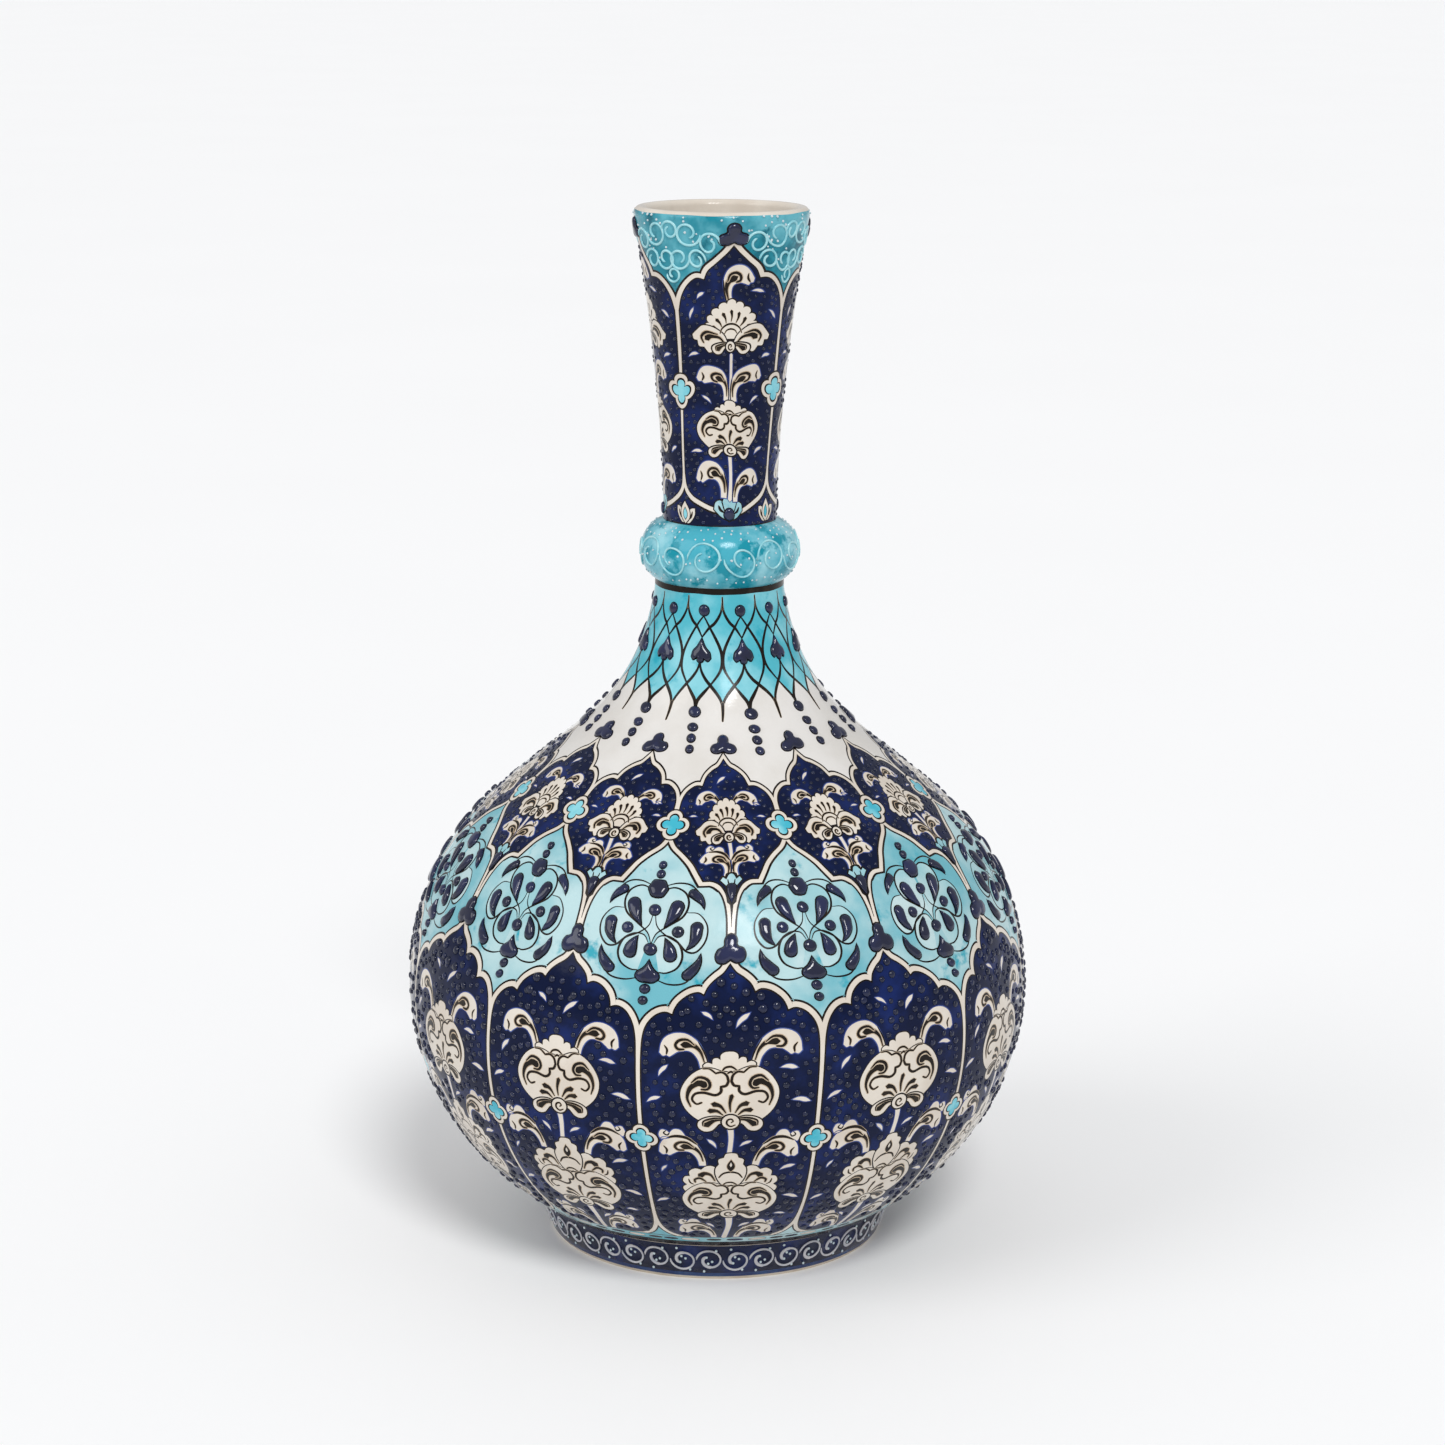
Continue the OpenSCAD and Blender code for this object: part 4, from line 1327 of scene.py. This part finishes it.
def scroll(x, y, r, over, side=1, turns=1.2, inner=0.36):
    """A spiral that starts at its side, goes over or under, and winds in."""
    t = np.linspace(0, 1, int(26 * turns))
    turn = math.pi - over * t * turns * TAU
    size = r * (1 - (1 - inner) * t ** 1.3)
    return np.stack([x + side * size * np.cos(turn), y + size * np.sin(turn)], axis=1)


def make_collar():
    collar = Band(collar_line, COLLAR_PAIRS, COLLAR_R)
    half, long = collar.width / 2, collar_line.length
    collar.belt("collar_turquoise", -3, long + 3)
    seat = [(WAIST_R, 270), (WAIST_R, JOINT_Z), (CONE_TOP_R, JOINT_Z)]
    tube = clay_piece("collar_bead", collar, 0, long, [("high", seat, "low", "clay")],
                      across=24, step=2.0, stray=False)
    kept(tube, "collar_glaze", "neck_collar")
    trails, dots = Relief(collar), Relief(collar)
    pen = collar.pen(COLLAR_R)
    middle, r = long * 0.47, half / 2
    for k, over in ((-1, 1), (1, -1)):
        trails.trail(pen, scroll(k * half / 2, middle, r, over), 0.85, 0.55)
    generator = np.random.default_rng(5)
    dot_count = 30
    for k in range(dot_count):
        x = -half + (k + generator.uniform(0.2, 0.8)) * 2 * half / dot_count
        y = (middle - 9.4, middle, middle + 9.0, middle + 11.5)[k % 4] + generator.uniform(-1.6, 1.6)
        dots.boss(pen, round_spot(x, y, generator.uniform(0.36, 0.5), points=9), 0.32, 0.1)
    kept(trails.piece("collar_spirals", "slip"), "collar_glaze")
    kept(dots.piece("collar_dots", "dots"), "collar_glaze")


def make_foot():
    foot = Band(foot_line, FOOT_PAIRS, FOOT_RING_R)
    long = foot_line.length
    foot.belt("cobalt", -3, long + 3)
    foot.belt("blue", -3, 3.4)
    foot.belt("clay", -3, 1.7)
    inside_r = FOOT_R - FOOT_LAND
    half = foot.width / 2
    back = [(66, 14.2), (inside_r - 1, FLOOR_Z), (inside_r, FOOT_BEVEL), (inside_r + FOOT_BEVEL, 0)]
    solid = clay_piece("foot_ring_glazed", foot, 0, long, [("high", back, "low", "clay")],
                       stray=False, across=4, step=3.0)
    kept(solid, "foot_glaze", "foot_ring")
    trails, dots = Relief(foot), Relief(foot)
    pen = foot.pen(FOOT_RING_R)
    middle, r = 9.6, half / 2
    for k, over in ((-1, 1), (1, -1)):
        x = k * half / 2
        trails.trail(pen, scroll(x, middle, r, over, 1, 1.15, 0.42)[:-6], 0.8, 0.4)
        trails.trail(pen, scroll(x, middle, r, over, 1, 1.15, 0.42)[-12:], 1.3, 0.45)
        for dx, dy in ((-1.2, 1.4), (0.9, -0.6), (-0.6, -1.6), (2.4, 4.7), (-2.2, -5.4)):
            dots.boss(pen, round_spot(x + dx, middle + dy * over, 0.5, points=9), 0.35, 0.12)
    kept(trails.piece("foot_spirals", "foot_slip", stray=False), "foot_glaze")
    kept(dots.piece("foot_dots", "dots", stray=False), "foot_glaze")


def make_bosses(belly, neck):
    """The larger raised pieces, each in place of the CAD node that holds its shape."""
    def group(name, node, band, pieces, turn=0.0):
        relief = Relief(band)
        for pen, edge, height in pieces:
            relief.boss(pen, edge, height)
        kept(relief.piece(name, "boss", turn), "relief_glaze", node)

    low, medal, high = belly.pen(BELLY_R), belly.pen(MEDALLION_R, HALF_SECTOR), belly.pen(SHORT_PANEL_R)
    shoulder = belly.pen(SHOULDER_R)
    drape = belly.pen(PENDANT_R, HALF_SECTOR)
    cone = belly.pen(LATTICE_R, HALF_SECTOR)
    group("trefoils_over_arches", "arch_trefoils", belly,
          [(low, shift(edge, x, y), 1.5) for x, y, edge in ARCH_TREFOIL])
    group("beads_in_medallions", "medallion_beads", belly,
          [(medal, round_spot(x, y, r), 1.2) for x, y, r in MEDALLION_BEADS])
    group("drops_in_medallions", "medallion_drops", belly,
          [(medal, edge, 1.35) for edge in medallion_drops()])
    group("hearts_in_medallions", "medallion_hearts", belly,
          [(medal, shift(edge, x, y), 1.4) for x, y, edge in MEDALLION_HEARTS])
    group("drops_at_panel_points", "tip_drops", belly, [(high, drop_on(0, 169.4, 0, 163.2, 1.5, 0), 1.0)])
    group("trefoils_on_shoulder", "shoulder_trefoils", belly,
          [(shoulder, shift(trefoil_edge(4.4), 0, 232), 1.3)])
    group("pendant_strings", "pendant_beads", belly,
          [(drape, round_spot(0, s, r, tall), 1.1) for s, r, tall in PENDANTS])
    group("hearts_on_cone", "cone_hearts", belly, [(cone, shift(spade_edge(4.5), 0, 269.6), 1.2)])
    group("beads_at_cone_top", "cone_beads", belly, [(cone, round_spot(0, 285.3, 2.7, 0.75), 1.0)])
    panel = neck.pen(NECK_PANEL_R, 0, y=NECK_START)
    group("trefoils_over_neck_panels", "neck_trefoils", neck,
          [(panel, shift(trefoil_edge(4.2), 0, 109.4), 1.3)],
          NECK_TURN)
    group("beads_under_neck_panels", "neck_tip_beads", neck, [(panel, round_spot(0, 3.9, 2.3), 1.0)],
          NECK_TURN)


def field_of(band, low, high, glaze_name, margin, turn=0.0, step=4.0):
    """The parts of a band that have one glaze, as an open mesh on the clay."""
    clear = Band(band.line, band.repeats, band.lay_r)
    for name, outline in band.shapes:
        wide = len(outline) > 60 and np.ptp(outline[:, 0]) > 0.7 * band.width
        if name == "cobalt":
            outline = spread(outline, -0.7 * margin)
        elif not (wide and name == "line"):
            outline = spread(outline, margin)
        clear.shapes.append((name, outline))
    points, faces, tones = painted_sheet(clear, low, high, step=step)
    faces = faces[tones == GLAZE_ORDER.index(glaze_name)]
    mesh = round_the_clay(band, "field", points, faces, None, [glaze_name], turn)
    face_out(mesh)
    return thing("field", mesh)


def face_out(mesh):
    """Drops the points that no face uses, and turns every face away from the axis."""
    with edited(mesh) as made:
        loose = [v for v in made.verts if not v.link_faces]
        bmesh.ops.delete(made, geom=loose, context="VERTS")
        for face in made.faces:
            centre = face.calc_center_median()
            if face.normal.x * centre.x + face.normal.y * centre.y < 0:
                face.normal_flip()


def make_beads(belly, neck):
    """Small beads of slip all over the cobalt."""
    dense = belly_line.at_height(124)
    strewn = [("arch_field_beads", belly, dense, 141, 3.6, 1.62, 3, 0.0),
               ("low_field_beads", belly, 14, dense, 3.1, 1.32, 8, 0.0),
               ("high_field_beads", belly, 170, 226, 2.4, 0.90, 21, 0.0),
               ("neck_field_beads", neck, NECK_START, NECK_START + 107, 2.2, 0.80, 34, NECK_TURN)]
    for name, band, low, high, gap, size, seed, turn in strewn:
        source = field_of(band, low, high, "cobalt", 0.85 * size, turn)
        mesh = grown(source, name, SLIP_BEADS, Gap=gap * MM, Size=size * MM, Seed=seed, Glaze=GLAZES["bead"])
        kept(thing(name, mesh), "relief_glaze")


def make_rim_trails(neck):
    """Pale scrolls and dots of slip under the lip."""
    trails, dots = Relief(neck), Relief(neck)
    pen = neck.pen(RIM_R, 0, y=NECK_START)
    half = math.pi * RIM_R / NECK_PANELS
    for x, y, r, over in ((8.9, 106.4, 4.3, 1), (17.2, 109.6, 5.0, -1), (14.0, 99.8, 3.9, 1),
                          (21.4, 100.2, 4.2, -1)):
        for side in (-1, 1):
            trails.trail(pen, scroll(side * x, y, r, over, side), 1.0, 0.5)
    trails.trail(pen, scroll(half, 110.6, 3.6, 1), 1.0, 0.5)
    trails.trail(pen, scroll(half, 94.4, 3.0, -1), 0.9, 0.5)
    generator = np.random.default_rng(9)
    for _ in range(64):
        x, y = generator.uniform(-half, half), generator.uniform(92, 116.4)
        if abs(x) > 2 + (112 - y) * 1.25 or y > 114.8:
            dots.boss(pen, round_spot(x, y, generator.uniform(0.36, 0.54), points=8), 0.35, 0.12)
    kept(trails.piece("rim_scrolls", "slip", NECK_TURN), "neck_glaze")
    kept(dots.piece("rim_dots", "dots", NECK_TURN), "neck_glaze")


# ---------------------------------------------------------------- scene

def make_stage():
    size = 40.0
    mesh = bpy.data.meshes.new("floor")
    mesh.from_pydata([(-size, -size, 0), (size, -size, 0), (size, size, 0), (-size, size, 0)], [],
                     [(0, 1, 2, 3)])
    finish = Finish("pale_floor")
    tone = finish.blend(finish.noise(2.5, 2), (0.955, 0.955, 0.955), (0.975, 0.975, 0.975))
    finish.feed(finish.shader.inputs["Base Color"], tone)
    finish.shader.inputs["Roughness"].default_value = 0.6
    mesh.materials.append(finish.material)
    thing("floor", mesh)


def make_camera():
    """The view the vase is seen in: a little above its shoulder."""
    away = 1.2988
    height = 0.50604
    aside = math.radians(-2.5)
    down = 0.2297
    roll = 0.0061
    data = bpy.data.cameras.new("camera")
    data.sensor_width = 36.0
    data.lens = 86.26
    data.shift_x = 0.0027038
    camera = thing("camera", data)
    camera.location = (away * math.sin(aside), -away * math.cos(aside), height)
    pan = Matrix.Rotation(aside, 4, "Z")
    tilt = Matrix.Rotation(math.pi / 2 - down, 4, "X")
    camera.rotation_euler = (pan @ tilt @ Matrix.Rotation(roll, 4, "Z")).to_euler()
    bpy.context.scene.camera = camera


def make_sun(name, side, front, up, strength, spread_deg):
    """A broad soft light that comes from one side, the front and above."""
    data = bpy.data.lights.new(name, "SUN")
    data.energy, data.angle = strength, math.radians(spread_deg)
    thing(name, data).rotation_euler = Vector((side, -front, up)).to_track_quat("Z", "Y").to_euler()


def make_lights():
    make_sun("front_window", 0.28, 1.3, 1.4, 1.6, 18)
    make_sun("left_fill", -1.4, 0.7, 1.1, 0.7, 35)
    world = bpy.data.worlds.new("studio")
    world.use_nodes = True
    sky = world.node_tree.nodes["Background"].inputs
    sky["Color"].default_value = (0.97, 0.98, 1.0, 1)
    sky["Strength"].default_value = 0.55
    bpy.context.scene.world = world
    bpy.context.scene.view_settings.view_transform = "Standard"


make_camera()
make_lights()
make_stage()
belly_decor = make_belly()
neck_decor = make_neck()
make_collar()
make_foot()
make_bosses(belly_decor, neck_decor)
make_beads(belly_decor, neck_decor)
make_rim_trails(neck_decor)
